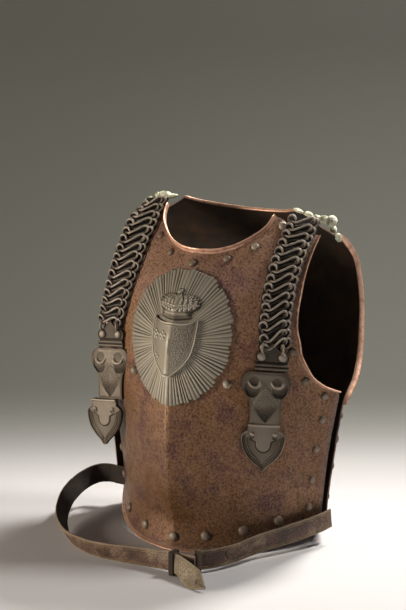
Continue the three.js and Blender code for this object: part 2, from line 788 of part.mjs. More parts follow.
// Rivets of the breastplate by X and height; the side rows are the same on both sides.
const NECK_RIVETS = [
  { x: -69.5, z: 393.5 },
  { x: -41, z: 378.5 },
  { x: 0, z: 371.5 },
  { x: 41, z: 378.5 },
  { x: 69.5, z: 393.5 },
  { x: 92.5, z: 417 },
];
const SIDE_RIVETS = [
  { x: 133, z: 268 },
  { x: 145, z: 228 },
  { x: 160.5, z: 205 },
  { x: 156.5, z: 173 },
  { x: 149, z: 133 },
  { x: 143.5, z: 91 },
  { x: 140, z: 54 },
];
const LOWER_RIVETS = [
  { x: -95, z: 31 },
  { x: -52, z: 24 },
  { x: 0, z: 22 },
  { x: 41, z: 26 },
  { x: 82, z: 33 },
  { x: 115, z: 42 },
];
const STUD_PLACE = { x: 67, z: 229 };
const BACK_RIVET_HEIGHTS = [170, 138, 101, 59];
const BACK_RIVET_ACROSS = 0.9;

function bothSides(rows) {
  return rows.flatMap(({ x, z }) => (x === 0 ? [{ x, z }] : [{ x, z }, { x: -x, z }]));
}

function rivetAt(skin, across, z, name) {
  const normal = skin.normal(across, z);
  const foot = skin.point(across, z).addScaledVector(normal, RIVET_STANDOFF);
  const solid = solidOf(domeGeometry(RIVET_RADIUS, RIVET_HEIGHT, 8));
  const mesh = meshOf(solid, name, MATERIALS.castBrass);
  mesh.applyMatrix4(standOn(foot, normal));
  return mesh;
}

function buildRivets() {
  const rows = { neck: NECK_RIVETS, side: bothSides(SIDE_RIVETS), lower: LOWER_RIVETS };
  const breast = Object.entries(rows).flatMap(([row, places]) => places.map(({ x, z }, i) => (
    rivetAt(breastSkin, breastSkin.acrossAt(x, z), z, `${row}_rivet_${i + 1}`)
  )));
  const back = BACK_RIVET_HEIGHTS.flatMap((z, i) => [1, -1].map((side) => (
    rivetAt(backSkin, side * BACK_RIVET_ACROSS, z, `back_rivet_${2 * i + (side > 0 ? 1 : 2)}`)
  )));
  return [...breast, ...back];
}

// A turned stud that a strap plate hooks over.
function buildStud(side) {
  const { x, z } = STUD_PLACE;
  const normal = breastSkin.normal(breastSkin.acrossAt(side * x, z), z);
  const foot = breastSkin.at(side * x, z, RIVET_STANDOFF);
  const profile = [
    new THREE.Vector2(0, 0),
    new THREE.Vector2(STUD_RADIUS * 0.9, 0),
    new THREE.Vector2(STUD_RADIUS * 0.55, STUD_LENGTH * 0.35),
    new THREE.Vector2(STUD_RADIUS * 0.95, STUD_LENGTH * 0.6),
    new THREE.Vector2(STUD_RADIUS * 0.7, STUD_LENGTH * 0.92),
    new THREE.Vector2(0, STUD_LENGTH),
  ];
  const solid = solidOf(new THREE.LatheGeometry(profile, 10).rotateX(Math.PI / 2));
  const mesh = meshOf(solid, `breast_stud_${side > 0 ? 'right' : 'left'}`, MATERIALS.castBrass);
  mesh.applyMatrix4(standOn(foot, normal));
  return mesh;
}

// Lumps of the cast shoulder fitting: two lugs where the chain is hung and one outer knob.
const FITTING_LUMPS = [
  { x: -5, y: -5, z: 4.5, radius: 5 },
  { x: 5, y: -5, z: 4.5, radius: 5 },
  { x: 18, y: 3, z: 3.5, radius: 6.5 },
];

// The cast fitting on each shoulder: a bar along the shoulder with two lugs and a knob.
function buildShoulderFitting(side) {
  const fall = new THREE.Matrix4().makeRotationY(side * 0.38);
  let solid = solidOf(new THREE.BoxGeometry(50, 12, 3), fall);
  for (const { x, y, z, radius } of FITTING_LUMPS) {
    const lump = new THREE.SphereGeometry(radius, 8, 5).translate(x * side, y, z);
    solid = solid.add(solidOf(lump, fall));
  }
  const mesh = meshOf(solid, `shoulder_fitting_${side > 0 ? 'right' : 'left'}`, MATERIALS.verdigris);
  mesh.position.set(side * 110, 42, 425);
  return mesh;
}

// Belt routes: middle of the strap, its lean outward from upright in degrees, and its half width.
const LEFT_BELT = [
  { x: -160, y: -5, z: 45, lean: 0 },
  { x: -175, y: -4, z: 46, lean: 4 },
  { x: -190, y: -12, z: 44, lean: 14 },
  { x: -198, y: -39, z: 38, lean: 28 },
  { x: -197, y: -71, z: 29, lean: 40 },
  { x: -184, y: -105, z: 20, lean: 44 },
  { x: -161, y: -140, z: 14, lean: 48 },
  { x: -127, y: -174, z: 12, lean: 54 },
  { x: -88, y: -193, z: 12, lean: 54 },
  { x: -52, y: -197, z: 13.5, lean: 44 },
  { x: -18, y: -195, z: 15.5, lean: 28 },
  { x: 15, y: -196, z: 17, lean: 12 },
  { x: 46, y: -199, z: 19, lean: 2 },
  { x: 76, y: -201, z: 19, lean: 0 },
];
const RIGHT_BELT = [
  { x: 161, y: 3, z: 36.5, lean: 0 },
  { x: 156, y: -14, z: 34.5, lean: 0 },
  { x: 145, y: -36, z: 31, lean: 0 },
  { x: 129, y: -64, z: 27, lean: 0 },
  { x: 110, y: -100, z: 23.5, lean: 2 },
  { x: 98, y: -136, z: 21, lean: 4 },
  { x: 85, y: -164, z: 20, lean: 2 },
  { x: 67, y: -186.5, z: 19.5, lean: 0 },
];
const TIP_BELT = [
  { x: 42, y: -204.4, z: 19, lean: 0, half: 12.5 },
  { x: 52, y: -205.5, z: 19, lean: 2, half: 12.5 },
  { x: 63, y: -212, z: 18, lean: 8, half: 12.5 },
  { x: 77, y: -219, z: 16, lean: 16, half: 12.5 },
  { x: 90, y: -224, z: 14, lean: 26, half: 11 },
  { x: 101, y: -225, z: 11, lean: 32, half: 7 },
  { x: 110, y: -224, z: 7.5, lean: 34, half: 1.2 },
];

function beltStations(route, outward) {
  const middles = route.map(({ x, y, z }) => new THREE.Vector3(x, y, z));
  const curve = new THREE.CatmullRomCurve3(middles, false, 'centripetal');
  const steps = (route.length - 1) * 2;
  return range(0, 1, steps).map((share) => {
    const at = share * (route.length - 1);
    const index = Math.min(Math.floor(at), route.length - 2);
    const part = at - index;
    const [from, to] = [route[index], route[index + 1]];
    const lean = THREE.MathUtils.degToRad(THREE.MathUtils.lerp(from.lean, to.lean, part));
    const tangent = curve.getTangent(share);
    const side = tangent.clone().cross(new THREE.Vector3(0, 0, 1)).normalize().multiplyScalar(outward);
    const rise = side.clone().cross(tangent).normalize();
    if (rise.z < 0) {
      rise.negate();
    }
    const upDir = rise.multiplyScalar(Math.cos(lean)).addScaledVector(side, Math.sin(lean)).normalize();
    const outDir = tangent.clone().cross(upDir).normalize();
    const full = BELT_WIDTH / 2;
    const half = THREE.MathUtils.lerp(from.half ?? full, to.half ?? full, part);
    return { point: curve.getPoint(share), outDir, upDir, half };
  });
}

function buildBelt(route, outward, name) {
  const points = [];
  const faces = [];
  const stations = beltStations(route, outward);
  for (const { point, outDir, upDir, half } of stations) {
    for (const [out, up] of [[-1, -1], [1, -1], [1, 1], [-1, 1]]) {
      const corner = point.clone().addScaledVector(outDir, out * BELT_THICKNESS * 0.5);
      points.push(corner.addScaledVector(upDir, up * half));
    }
  }
  for (let i = 0; i + 1 < stations.length; i += 1) {
    for (let j = 0; j < 4; j += 1) {
      const a = i * 4 + j;
      const b = i * 4 + ((j + 1) % 4);
      faces.push([a, b, b + 4], [a, b + 4, a + 4]);
    }
  }
  const end = (stations.length - 1) * 4;
  faces.push([0, 2, 1], [0, 3, 2], [end, end + 1, end + 2], [end, end + 2, end + 3]);
  return meshOf(body(points, faces), name, MATERIALS.leather);
}

// Rectangular loops that a strap runs through: inner depth and height, wall, and length along it.
const BELT_LOOPS = [
  { name: 'belt_keeper', slot: 'leather', inside: 11, wall: 2, length: 7, x: 46, y: -202, z: 19, turn: -3 },
  { name: 'belt_buckle', slot: 'verdigris', inside: 5, wall: 1.8, length: 6, x: 70, y: -183, z: 19.5, turn: 50 },
];

function buildLoop({ name, slot, inside, wall, length, x, y, z, turn }) {
  const tall = BELT_WIDTH + 2 * LOOP_PLAY;
  const outer = new THREE.BoxGeometry(length, inside + 2 * wall, tall + 2 * wall);
  const hole = new THREE.BoxGeometry(length + 2, inside, tall);
  const mesh = meshOf(solidOf(outer).subtract(solidOf(hole)), name, MATERIALS[slot]);
  mesh.position.set(x, y, z);
  mesh.rotation.z = THREE.MathUtils.degToRad(turn);
  return mesh;
}

const armour = new THREE.Group();
armour.name = 'armour';
armour.add(buildBreastplate(), buildBackplate());
armour.add(meshOf(buildPlaque(), 'sunburst_plaque', MATERIALS.castBrass));
armour.add(buildStrap(RIGHT_ROUTE, 'shoulder_chain_right'), buildStrap(LEFT_ROUTE, 'shoulder_chain_left'));
armour.add(...buildEndPlates(), buildStud(1), buildStud(-1), ...buildRivets());
armour.add(buildShoulderFitting(1), buildShoulderFitting(-1));

const belt = new THREE.Group();
belt.name = 'belt';
belt.add(buildBelt(LEFT_BELT, 1, 'belt_left'), buildBelt(RIGHT_BELT, -1, 'belt_right'));
belt.add(buildBelt(TIP_BELT, 1, 'belt_tip'), ...BELT_LOOPS.map(buildLoop));

// The whole stands on Z = 0 with its middle over the origin.
const cuirass = new THREE.Group();
cuirass.name = 'cuirass';
cuirass.add(armour, belt);
const extent = new THREE.Box3().setFromObject(cuirass, true);
const middle = extent.getCenter(new THREE.Vector3());
cuirass.position.set(-middle.x, -middle.y, -extent.min.z);
cuirass.updateMatrixWorld(true);

export default cuirass;
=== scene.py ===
"""Looks for a cavalry cuirass: browned steel plates, a rayed plaque, chain straps and a leather belt.

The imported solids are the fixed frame. Every class below builds one sub-assembly of the cuirass in
millimetres, in the plates' own frame (chest towards -Y, side seams at Y = 0), and to_frame() brings
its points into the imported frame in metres.
"""

import logging
import math
from collections.abc import Callable, Iterable, Sequence
from dataclasses import dataclass, field
from enum import Enum
from typing import Any

import bmesh
import bpy
import numpy as np
from mathutils import Matrix, Vector, noise


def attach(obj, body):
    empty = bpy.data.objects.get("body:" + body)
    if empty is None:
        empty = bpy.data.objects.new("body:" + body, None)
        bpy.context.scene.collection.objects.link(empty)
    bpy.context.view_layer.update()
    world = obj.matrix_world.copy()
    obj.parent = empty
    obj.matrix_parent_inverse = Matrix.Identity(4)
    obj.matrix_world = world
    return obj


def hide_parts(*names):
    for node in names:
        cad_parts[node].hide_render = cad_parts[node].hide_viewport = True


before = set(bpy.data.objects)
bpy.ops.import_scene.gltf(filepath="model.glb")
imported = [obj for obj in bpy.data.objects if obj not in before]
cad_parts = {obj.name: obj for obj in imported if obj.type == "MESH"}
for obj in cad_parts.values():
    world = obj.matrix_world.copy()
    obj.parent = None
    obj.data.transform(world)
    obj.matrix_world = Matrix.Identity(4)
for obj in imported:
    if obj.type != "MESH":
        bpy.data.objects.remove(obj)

LOG = logging.getLogger("cuirass")
MM = 0.001
BODY = "root"
SEAM_ORIGIN = np.array([11.578, 56.330, -2.664])
"""Millimetres from the plates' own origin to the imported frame's origin."""

Array = np.ndarray
Material = bpy.types.Material
Piece = bpy.types.Object
Socket = bpy.types.NodeSocket


# ----- Small tools for points, meshes and nodes -----


def to_frame(points: Array) -> Array:
    """Bring points from the plates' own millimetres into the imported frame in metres."""
    return (np.asarray(points, float) + SEAM_ORIGIN) * MM


def unit(vectors: Array) -> Array:
    """Scale each vector to a length of one."""
    length = np.linalg.norm(vectors, axis=-1, keepdims=True)
    return vectors / np.maximum(length, 1e-12)


def smoothstep(low: float, high: float, value: Array) -> Array:
    """Rise smoothly from 0 at low to 1 at high."""
    t = np.clip((np.asarray(value, float) - low) / (high - low), 0.0, 1.0)
    return t * t * (3.0 - 2.0 * t)


def travel(path: Array) -> Array:
    """Give how far along a path each of its points lies."""
    return np.concatenate([[0.0], np.cumsum(np.linalg.norm(np.diff(path, axis=0), axis=1))])


def read_at(ways: Array, marks: Array, rows: Array) -> Array:
    """Read rows of values at ways between their marks."""
    return np.stack([np.interp(ways, marks, column) for column in rows.T], axis=-1)


def catmull_rom(points: Array, count: int, closed: bool = False) -> Array:
    """Run a smooth curve through points, evenly spaced along its length.

    Args:
        points: The points to pass through, one per row.
        count: How many points to return.
        closed: Whether the curve returns to its first point, which isn't repeated.

    Returns:
        The evenly spaced points, one per row.
    """
    pts = np.asarray(points, float)
    if closed:
        padded = np.vstack([pts[-1], pts, pts[0], pts[1]])
    else:
        padded = np.vstack([2 * pts[0] - pts[1], pts, 2 * pts[-1] - pts[-2]])
    spans = len(padded) - 3
    t = np.linspace(0.0, 1.0, 24, endpoint=False)[:, None]
    runs = []
    for i in range(spans):
        a, b, c, d = padded[i : i + 4]
        runs.append(
            0.5
            * (2 * b + (c - a) * t + (2 * a - 5 * b + 4 * c - d) * t**2 + (3 * b - a - 3 * c + d) * t**3)
        )
    fine = np.vstack([*runs, padded[-2][None, :]])
    travelled = travel(fine)
    return read_at(np.linspace(0.0, travelled[-1], count, endpoint=not closed), travelled, fine)


def path_frames(path: Array, up: Array, closed: bool = False) -> tuple[Array, Array, Array]:
    """Give a path its own axes.

    Args:
        path: Points along the path.
        up: The direction at each point that the second axis should lean to.
        closed: Whether the path returns to its first point.

    Returns:
        Unit tangent, up and side directions at each point.
    """
    if closed:
        tangent = unit(np.roll(path, -1, axis=0) - np.roll(path, 1, axis=0))
    else:
        tangent = unit(np.gradient(path, axis=0))
    side = unit(np.cross(tangent, up))
    return tangent, np.cross(side, tangent), side


class MeshParts:
    """Gathers the closed shells of one piece, with their per-point values, then makes its object."""

    CREASE = 52.0

    def __init__(self) -> None:
        """Start with no points."""
        self.points: list[Array] = []
        self.faces: list[Array] = []
        self.slots: list[Array] = []
        self.values: dict[str, list[Array]] = {}
        self.count = 0

    def add(self, points: Array, faces: Array, slot: Array | int = 0, **values: Array | float) -> None:
        """Add one closed shell.

        Args:
            points: Its points in the plates' own millimetres.
            faces: Its faces of four corners each, or of three.
            slot: Which of the object's materials the faces take, one number or one per face.
            **values: Named numbers, one per point or one for the whole shell.
        """
        size = len(points)
        faces = np.asarray(faces, int)
        if faces.shape[1] == 3:
            faces = np.hstack([faces, np.full((len(faces), 1), -1)])
        for name in set(self.values) | set(values):
            run = self.values.setdefault(name, [np.zeros(self.count)] if self.count else [])
            run.append(np.broadcast_to(np.asarray(values.get(name, 0.0), float), (size,)))
        self.points.append(np.asarray(points, float))
        self.faces.append(np.where(faces < 0, -1, faces + self.count))
        self.slots.append(np.broadcast_to(np.asarray(slot), (len(faces),)))
        self.count += size

    def make(self, name: str, materials: Sequence[Material]) -> Piece:
        """Turn what was added into an object at the frame's origin.

        Args:
            name: The object's name.
            materials: The materials that the slots stand for.

        Returns:
            The new object, shaded smooth.
        """
        corners = [tuple(f[f >= 0]) for f in np.vstack(self.faces)]
        mesh = bpy.data.meshes.new(name)
        mesh.from_pydata(to_frame(np.vstack(self.points)).tolist(), [], corners)
        mesh.polygons.foreach_set("material_index", np.concatenate(self.slots).astype(np.int32))
        mesh.polygons.foreach_set("use_smooth", np.ones(len(mesh.polygons), bool))
        for key, runs in self.values.items():
            layer = mesh.attributes.new(key, "FLOAT", "POINT")
            layer.data.foreach_set("value", np.concatenate(runs).astype(np.float32))
        for material in materials:
            mesh.materials.append(material)
        shells = bmesh.new()
        shells.from_mesh(mesh)
        bmesh.ops.recalc_face_normals(shells, faces=shells.faces)
        shells.to_mesh(mesh)
        shells.free()
        mesh.set_sharp_from_angle(angle=math.radians(self.CREASE))
        made = bpy.data.objects.new(name, mesh)
        bpy.context.scene.collection.objects.link(made)
        return made


def grid_faces(rows: int, columns: int, wrap_rows: bool = False, wrap_columns: bool = False) -> Array:
    """Number the four corners of each cell of a net that is stored row by row.

    Args:
        rows: Points down the net.
        columns: Points across the net.
        wrap_rows: Whether the last row joins the first.
        wrap_columns: Whether the last column joins the first.

    Returns:
        One row of four corner numbers for each cell.
    """
    i = np.arange(rows if wrap_rows else rows - 1)[:, None]
    j = np.arange(columns if wrap_columns else columns - 1)[None, :]
    below, right = (i + 1) % rows, (j + 1) % columns
    cells = [i * columns + j, i * columns + right, below * columns + right, below * columns + j]
    return np.stack([np.broadcast_to(c, (i.size, j.size)).ravel() for c in cells], axis=1)


def fan(ring: Array, hub: int, flip: bool = False) -> Array:
    """Close a ring of points with triangles to a middle point.

    Args:
        ring: The numbers of the points round the ring.
        hub: The number of the middle point.
        flip: Whether the triangles face the other way.

    Returns:
        Three corner numbers and -1 for each triangle.
    """
    after = np.roll(ring, -1)
    pair = [after, ring] if flip else [ring, after]
    return np.stack([*pair, np.full(len(ring), hub), np.full(len(ring), -1)], axis=1)


def swept(
    path: Array, axes: tuple[Array, Array], section: Array, closed: bool = False
) -> tuple[Array, Array]:
    """Sweep a closed section along a path.

    Args:
        path: Points along the path.
        axes: The two directions at each path point that carry the section.
        section: The section's points, or one section for each path point.
        closed: Whether the path returns to its first point.

    Returns:
        The points, and the faces of a closed body.
    """
    section = np.asarray(section, float)
    if section.ndim == 2:
        section = np.broadcast_to(section, (len(path), *section.shape))
    first, second = axes
    net = (
        path[:, None, :]
        + section[:, :, 0:1] * first[:, None, :]
        + section[:, :, 1:2] * second[:, None, :]
    )
    count = section.shape[1]
    points = net.reshape(-1, 3)
    faces = grid_faces(len(path), count, wrap_rows=closed, wrap_columns=True)
    if not closed:
        hub = len(points)
        points = np.vstack([points, net[0].mean(0), net[-1].mean(0)])
        ring = np.arange(count)
        faces = np.vstack([faces, fan(ring, hub, flip=True), fan(hub - count + ring, hub + 1)])
    return points, faces


def round_section(radius: float, sides: int) -> Array:
    """Give the points of a round section."""
    angle = np.linspace(0.0, math.tau, sides, endpoint=False)
    return radius * np.stack([np.cos(angle), np.sin(angle)], axis=1)


def rolling_noise(points: Array, size: float, seed: float) -> Array:
    """Smooth noise from -1 to 1 at each point.

    Args:
        points: Points in millimetres.
        size: Distance in millimetres over which the noise turns.
        seed: Moves the pattern, so that each use has its own.

    Returns:
        One value for each point.
    """
    offset = Vector((seed, 2.3 * seed, -1.7 * seed))
    return np.array([noise.noise(Vector(p) / size + offset) for p in np.asarray(points, float)])


def linear_colour(code: str) -> tuple[float, float, float, float]:
    """Turn an sRGB hex colour such as #8a5f48 into linear red, green, blue and alpha."""
    parts = [int(code[i : i + 2], 16) / 255.0 for i in (1, 3, 5)]
    linear = [c / 12.92 if c <= 0.04045 else ((c + 0.055) / 1.055) ** 2.4 for c in parts]
    return (linear[0], linear[1], linear[2], 1.0)


def per_size(millimetres: float) -> float:
    """Give the texture scale whose pattern repeats at this real size."""
    return 1.0 / (millimetres * MM)


class Paint:
    """The shader nodes of one new material."""

    def __init__(self, name: str) -> None:
        """Start an empty material.

        Args:
            name: The material's name.
        """
        self.material = bpy.data.materials.new(name)
        self.material.use_nodes = True
        self.tree = self.material.node_tree
        self.tree.nodes.clear()
        self.place = self.node("TexCoord").outputs["Object"]

    def node(
        self, kind: str, settings: dict[str, Any] | None = None, links: dict[str, Socket] | None = None
    ) -> bpy.types.Node:
        """Add a shader node with its settings and links.

        Args:
            kind: The node's type name after ShaderNode.
            settings: Values: a capitalised or numbered key is an input socket, another is a property.
            links: Sockets that feed inputs, by input name or number.

        Returns:
            The new node.
        """
        node = self.tree.nodes.new("ShaderNode" + kind)
        for key, value in (settings or {}).items():
            if key.isdigit():
                node.inputs[int(key)].default_value = value
            elif key[0].isupper():
                node.inputs[key].default_value = value
            else:
                setattr(node, key, value)
        for key, socket in (links or {}).items():
            self.tree.links.new(socket, node.inputs[int(key) if key.isdigit() else key])
        return node

    def ramp(self, socket: Socket, stops: Sequence[tuple[float, str]]) -> Socket:
        """Colour a value by stops.

        Args:
            socket: The value to colour.
            stops: Pairs of place and sRGB hex colour, in order.

        Returns:
            The colour socket.
        """
        ramp = self.node("ValToRGB", links={"Fac": socket})
        elements = ramp.color_ramp.elements
        while len(elements) < len(stops):
            elements.new(0.5)
        for element, (place, code) in zip(elements, stops, strict=True):
            element.position = place
            element.color = linear_colour(code)
        return ramp.outputs["Color"]

    def mix(self, share: Socket, first: Socket | str, second: Socket | str, blend: str = "MIX") -> Socket:
        """Mix two colours, each a socket or an sRGB hex colour.

        Args:
            share: How much of the second colour shows.
            first: The colour where share is 0.
            second: The colour where share is 1.
            blend: The way the colours mix.

        Returns:
            The mixed colour socket.
        """
        node = self.node("Mix", {"data_type": "RGBA", "blend_type": blend}, {"0": share})
        for index, colour in ((6, first), (7, second)):
            if isinstance(colour, str):
                node.inputs[index].default_value = linear_colour(colour)
            else:
                self.tree.links.new(colour, node.inputs[index])
        return node.outputs[2]

    def span(self, socket: Socket, low: float, high: float, to_low: float, to_high: float) -> Socket:
        """Map low to to_low and high to to_high, held at both ends."""
        settings = {"From Min": low, "From Max": high, "To Min": to_low, "To Max": to_high}
        return self.node("MapRange", settings, {"Value": socket}).outputs["Result"]

    def add_share(self, value: Socket, share: float, rest: Socket) -> Socket:
        """Give value times share, plus rest."""
        settings = {"operation": "MULTIPLY_ADD", "1": share}
        return self.node("Math", settings, {"0": value, "2": rest}).outputs[0]

    def noise(self, size: float, detail: float = 4.0) -> Socket:
        """Add cloudy noise whose blotches are about size millimetres across."""
        settings = {"Scale": per_size(size), "Detail": detail, "Roughness": 0.6}
        return self.node("TexNoise", settings, {"Vector": self.place}).outputs["Fac"]

    def bump(self, height: Socket, depth: float, strength: float = 1.0) -> Socket:
        """Turn a height into a normal; a height of 1 stands for depth millimetres."""
        settings = {"Strength": strength, "Distance": depth * MM}
        return self.node("Bump", settings, {"Height": height}).outputs["Normal"]

    def value(self, name: str) -> Socket:
        """Read a number that the mesh holds at each point."""
        return self.node("Attribute", {"attribute_name": name}).outputs["Fac"]

    def coat(self, settings: dict[str, Any], links: dict[str, Socket]) -> Material:
        """Add the surface shader and its output.

        Args:
            settings: Shader values that are the same all over.
            links: Sockets that vary over the surface.

        Returns:
            The finished material.
        """
        surface = self.node("BsdfPrincipled", settings, links)
        self.node("OutputMaterial", links={"Surface": surface.outputs["BSDF"]})
        return self.material


# ----- Finishes -----


class Cast(Enum):
    """How dark the old cast brass has gone on each group of castings."""

    PLAQUE = "plaque"
    END_PLATE = "end_plate"
    RIVET = "rivet"


@dataclass(frozen=True)
class BrownedSteel:
    """Rolled steel plate, browned by an even film of rust and waxed.

    The film hides most of the metal, so the eye sees a warm satin brown with a broad soft sheen,
    clouded in copper and plum, and peppered with dark pits where the rust has eaten in.
    """

    name: str = "browned_rolled_steel"
    light: str = "#9f7550"
    warm: str = "#8f663a"
    plum: str = "#754d40"
    pit: str = "#33221b"
    bare: str = "#a58573"
    worn_and_painted_sheen: str = "#b1948a"
    # The colour of the painted shade and shadow, and of the darkening by the side seam.
    soot: str = "#2a190d"
    cloud_size: float = 48.0
    patch_size: float = 13.0
    grain_size: float = 2.9
    pit_size: float = 2.0
    roughness: float = 0.47

    def make(self) -> Material:
        """Make the material; real rust pits are finer, and are drawn coarse enough to be seen."""
        paint = Paint(self.name)
        cloud = paint.noise(self.cloud_size, 4.0)
        patch = paint.noise(self.patch_size, 5.0)
        grain = paint.noise(self.grain_size, 6.0)
        speck = paint.noise(self.pit_size, 4.0)
        base = paint.ramp(cloud, [(0.36, self.plum), (0.48, self.light), (0.6, self.warm)])
        base = paint.mix(paint.span(patch, 0.42, 0.68, 0.0, 0.38), base, self.plum)
        # The edge value is real rubbing at the rims and a painted highlight over the upper chest.
        worn_and_painted_sheen = paint.value("edge")
        base = paint.mix(paint.span(worn_and_painted_sheen, 0.0, 1.0, 0.0, 0.6), base, self.worn_and_painted_sheen)
        base = paint.mix(paint.span(grain, 0.5, 0.68, 0.0, 0.7), base, self.bare)
        base = paint.mix(paint.span(grain, 0.5, 0.34, 0.0, 0.75), base, self.pit)
        pits = paint.span(speck, 0.54, 0.66, 0.0, 1.0)
        base = paint.mix(paint.span(pits, 0.0, 1.0, 0.0, 0.62), base, self.pit)
        # Painted shade and shadow, with the darkening by the side seam, read from the plate's values.
        base = paint.mix(paint.value("soot"), base, self.soot)
        rough = paint.span(patch, 0.35, 0.7, self.roughness - 0.06, self.roughness + 0.16)
        sink = paint.add_share(pits, -0.7, grain)
        normal = paint.bump(sink, 0.3, 0.6)
        return paint.coat({"Metallic": 0.4}, {"Base Color": base, "Roughness": rough, "Normal": normal})


@dataclass(frozen=True)
class BurnishedLip:
    """The same steel where the turned edge is rubbed: thinner rust, so it shines pinkish copper."""

    name: str = "burnished_steel_lip"
    bright: str = "#dcb197"
    dull: str = "#b98a6d"
    mottle_size: float = 7.0

    def make(self) -> Material:
        """Make the material."""
        paint = Paint(self.name)
        mottle = paint.noise(self.mottle_size, 5.0)
        base = paint.ramp(mottle, [(0.34, self.dull), (0.52, self.bright)])
        rough = paint.span(mottle, 0.35, 0.65, 0.52, 0.38)
        normal = paint.bump(mottle, 0.12, 0.5)
        return paint.coat({"Metallic": 0.55}, {"Base Color": base, "Roughness": rough, "Normal": normal})


@dataclass(frozen=True)
class RawInside:
    """The hammered inner face, black-brown with old oil and soot, which throws back hardly any light."""

    name: str = "oiled_inner_steel"
    dark: str = "#1e1409"
    brown: str = "#3e2a16"
    cloud_size: float = 30.0

    def make(self) -> Material:
        """Make the material."""
        paint = Paint(self.name)
        cloud = paint.noise(self.cloud_size, 6.0)
        base = paint.ramp(cloud, [(0.38, self.dark), (0.7, self.brown)])
        normal = paint.bump(cloud, 0.8, 0.5)
        return paint.coat({"Metallic": 0.15, "Roughness": 0.78}, {"Base Color": base, "Normal": normal})


@dataclass(frozen=True)
class CastBrass:
    """Sand-cast brass gone grey-olive: dirt and painted shade in the hollows, rubbed high places.

    The mesh holds how high each point stands in its relief, and that drives the dirt and painted
    shade in the hollows and the rubbing.
    """

    kind: Cast
    name: str
    hollow: str
    body: str
    rubbed: str
    metallic: float
    roughness: float = 0.5
    mottle_size: float = 14.0
    sand_size: float = 1.4
    tint: tuple[str, str] = ("#7c7a6e", "#a39a86")
    crust: str = "#aca391"

    def make(self) -> Material:
        """Make the material."""
        paint = Paint(self.name)
        height = paint.value("height")
        mottle = paint.noise(self.mottle_size, 5.0)
        sand = paint.noise(self.sand_size, 2.0)
        # Painted shade: low relief values darken towards the hollow colour, together with dirt.
        base = paint.ramp(height, [(0.08, self.hollow), (0.5, self.body), (0.95, self.rubbed)])
        tint = paint.ramp(mottle, [(0.35, self.tint[0]), (0.6, self.tint[1])])
        base = paint.mix(paint.span(mottle, 0.3, 0.7, 0.1, 0.5), base, tint, "SOFT_LIGHT")
        if self.kind is Cast.RIVET:
            base = paint.mix(paint.value("bloom"), base, self.crust)
        rough = paint.span(mottle, 0.3, 0.7, self.roughness - 0.06, self.roughness + 0.16)
        normal = paint.bump(sand, 0.12, 0.7)
        return paint.coat({"Metallic": self.metallic},
            {"Base Color": base, "Roughness": rough, "Normal": normal},
        )


@dataclass(frozen=True)
class ChainWire:
    """Drawn wire bent into links: dark with grime and painted shade underneath, rubbed bright along the
    tops with a painted highlight.
    """

    name: str = "drawn_chain_wire"
    grime_and_shade: str = "#1f1a15"
    body: str = "#6b6156"
    rubbed: str = "#a1978a"
    rust: str = "#4b3f33"
    mottle_size: float = 6.0

    def make(self) -> Material:
        """Make the material."""
        paint = Paint(self.name)
        height = paint.value("height")
        mottle = paint.noise(self.mottle_size, 4.0)
        base = paint.ramp(height, [(0.1, self.grime_and_shade), (0.55, self.body), (0.95, self.rubbed)])
        base = paint.mix(paint.span(mottle, 0.45, 0.7, 0.0, 0.5), base, self.rust)
        rough = paint.span(mottle, 0.3, 0.7, 0.48, 0.68)
        normal = paint.bump(mottle, 0.2, 0.6)
        return paint.coat({"Metallic": 0.4}, {"Base Color": base, "Roughness": rough, "Normal": normal})


@dataclass(frozen=True)
class Verdigris:
    """Brass eaten to a chalky crust, cream to pale green with brown earth in its cracks: no shine."""

    name: str = "verdigris_crust"
    chalk: str = "#dcdcc6"
    green: str = "#a9b08c"
    earth: str = "#5b4a33"
    crust_size: float = 7.0

    def make(self) -> Material:
        """Make the material."""
        paint = Paint(self.name)
        crust = paint.noise(self.crust_size, 6.0)
        stops = [(0.34, self.earth), (0.43, self.green), (0.52, self.chalk), (0.8, self.chalk)]
        base = paint.ramp(crust, stops)
        normal = paint.bump(crust, 0.9, 0.8)
        return paint.coat({"Metallic": 0.0, "Roughness": 0.82}, {"Base Color": base, "Normal": normal})


@dataclass(frozen=True)
class BeltLeather:
    """Vegetable-tanned harness leather, dried out: a finely crazed face and cracked, paler edges."""

    name: str
    face: str
    shade: str
    scuff: str
    crack: str = "#221710"
    craze_size: float = 2.6
    cloud_size: float = 26.0
    roughness: float = 0.62

    def make(self) -> Material:
        """Make the material."""
        paint = Paint(self.name)
        cloud = paint.noise(self.cloud_size, 5.0)
        grain = paint.noise(self.craze_size, 5.0)
        base = paint.ramp(cloud, [(0.34, self.shade), (0.52, self.face), (0.7, self.scuff)])
        settings = {"feature": "DISTANCE_TO_EDGE", "Scale": per_size(self.craze_size * 1.6)}
        craze = paint.node("TexVoronoi", settings, {"Vector": paint.place}).outputs["Distance"]
        line = paint.span(craze, 0.0, 0.12, 0.7, 0.0)
        base = paint.mix(line, base, self.crack)
        rubbed = paint.value("edge")
        base = paint.mix(paint.span(rubbed, 0.0, 1.0, 0.0, 0.7), base, self.scuff)
        surface = paint.add_share(grain, 0.6, craze)
        normal = paint.bump(surface, 0.5, 0.7)
        return paint.coat({"Metallic": 0.0, "Roughness": self.roughness},
            {"Base Color": base, "Normal": normal},
        )


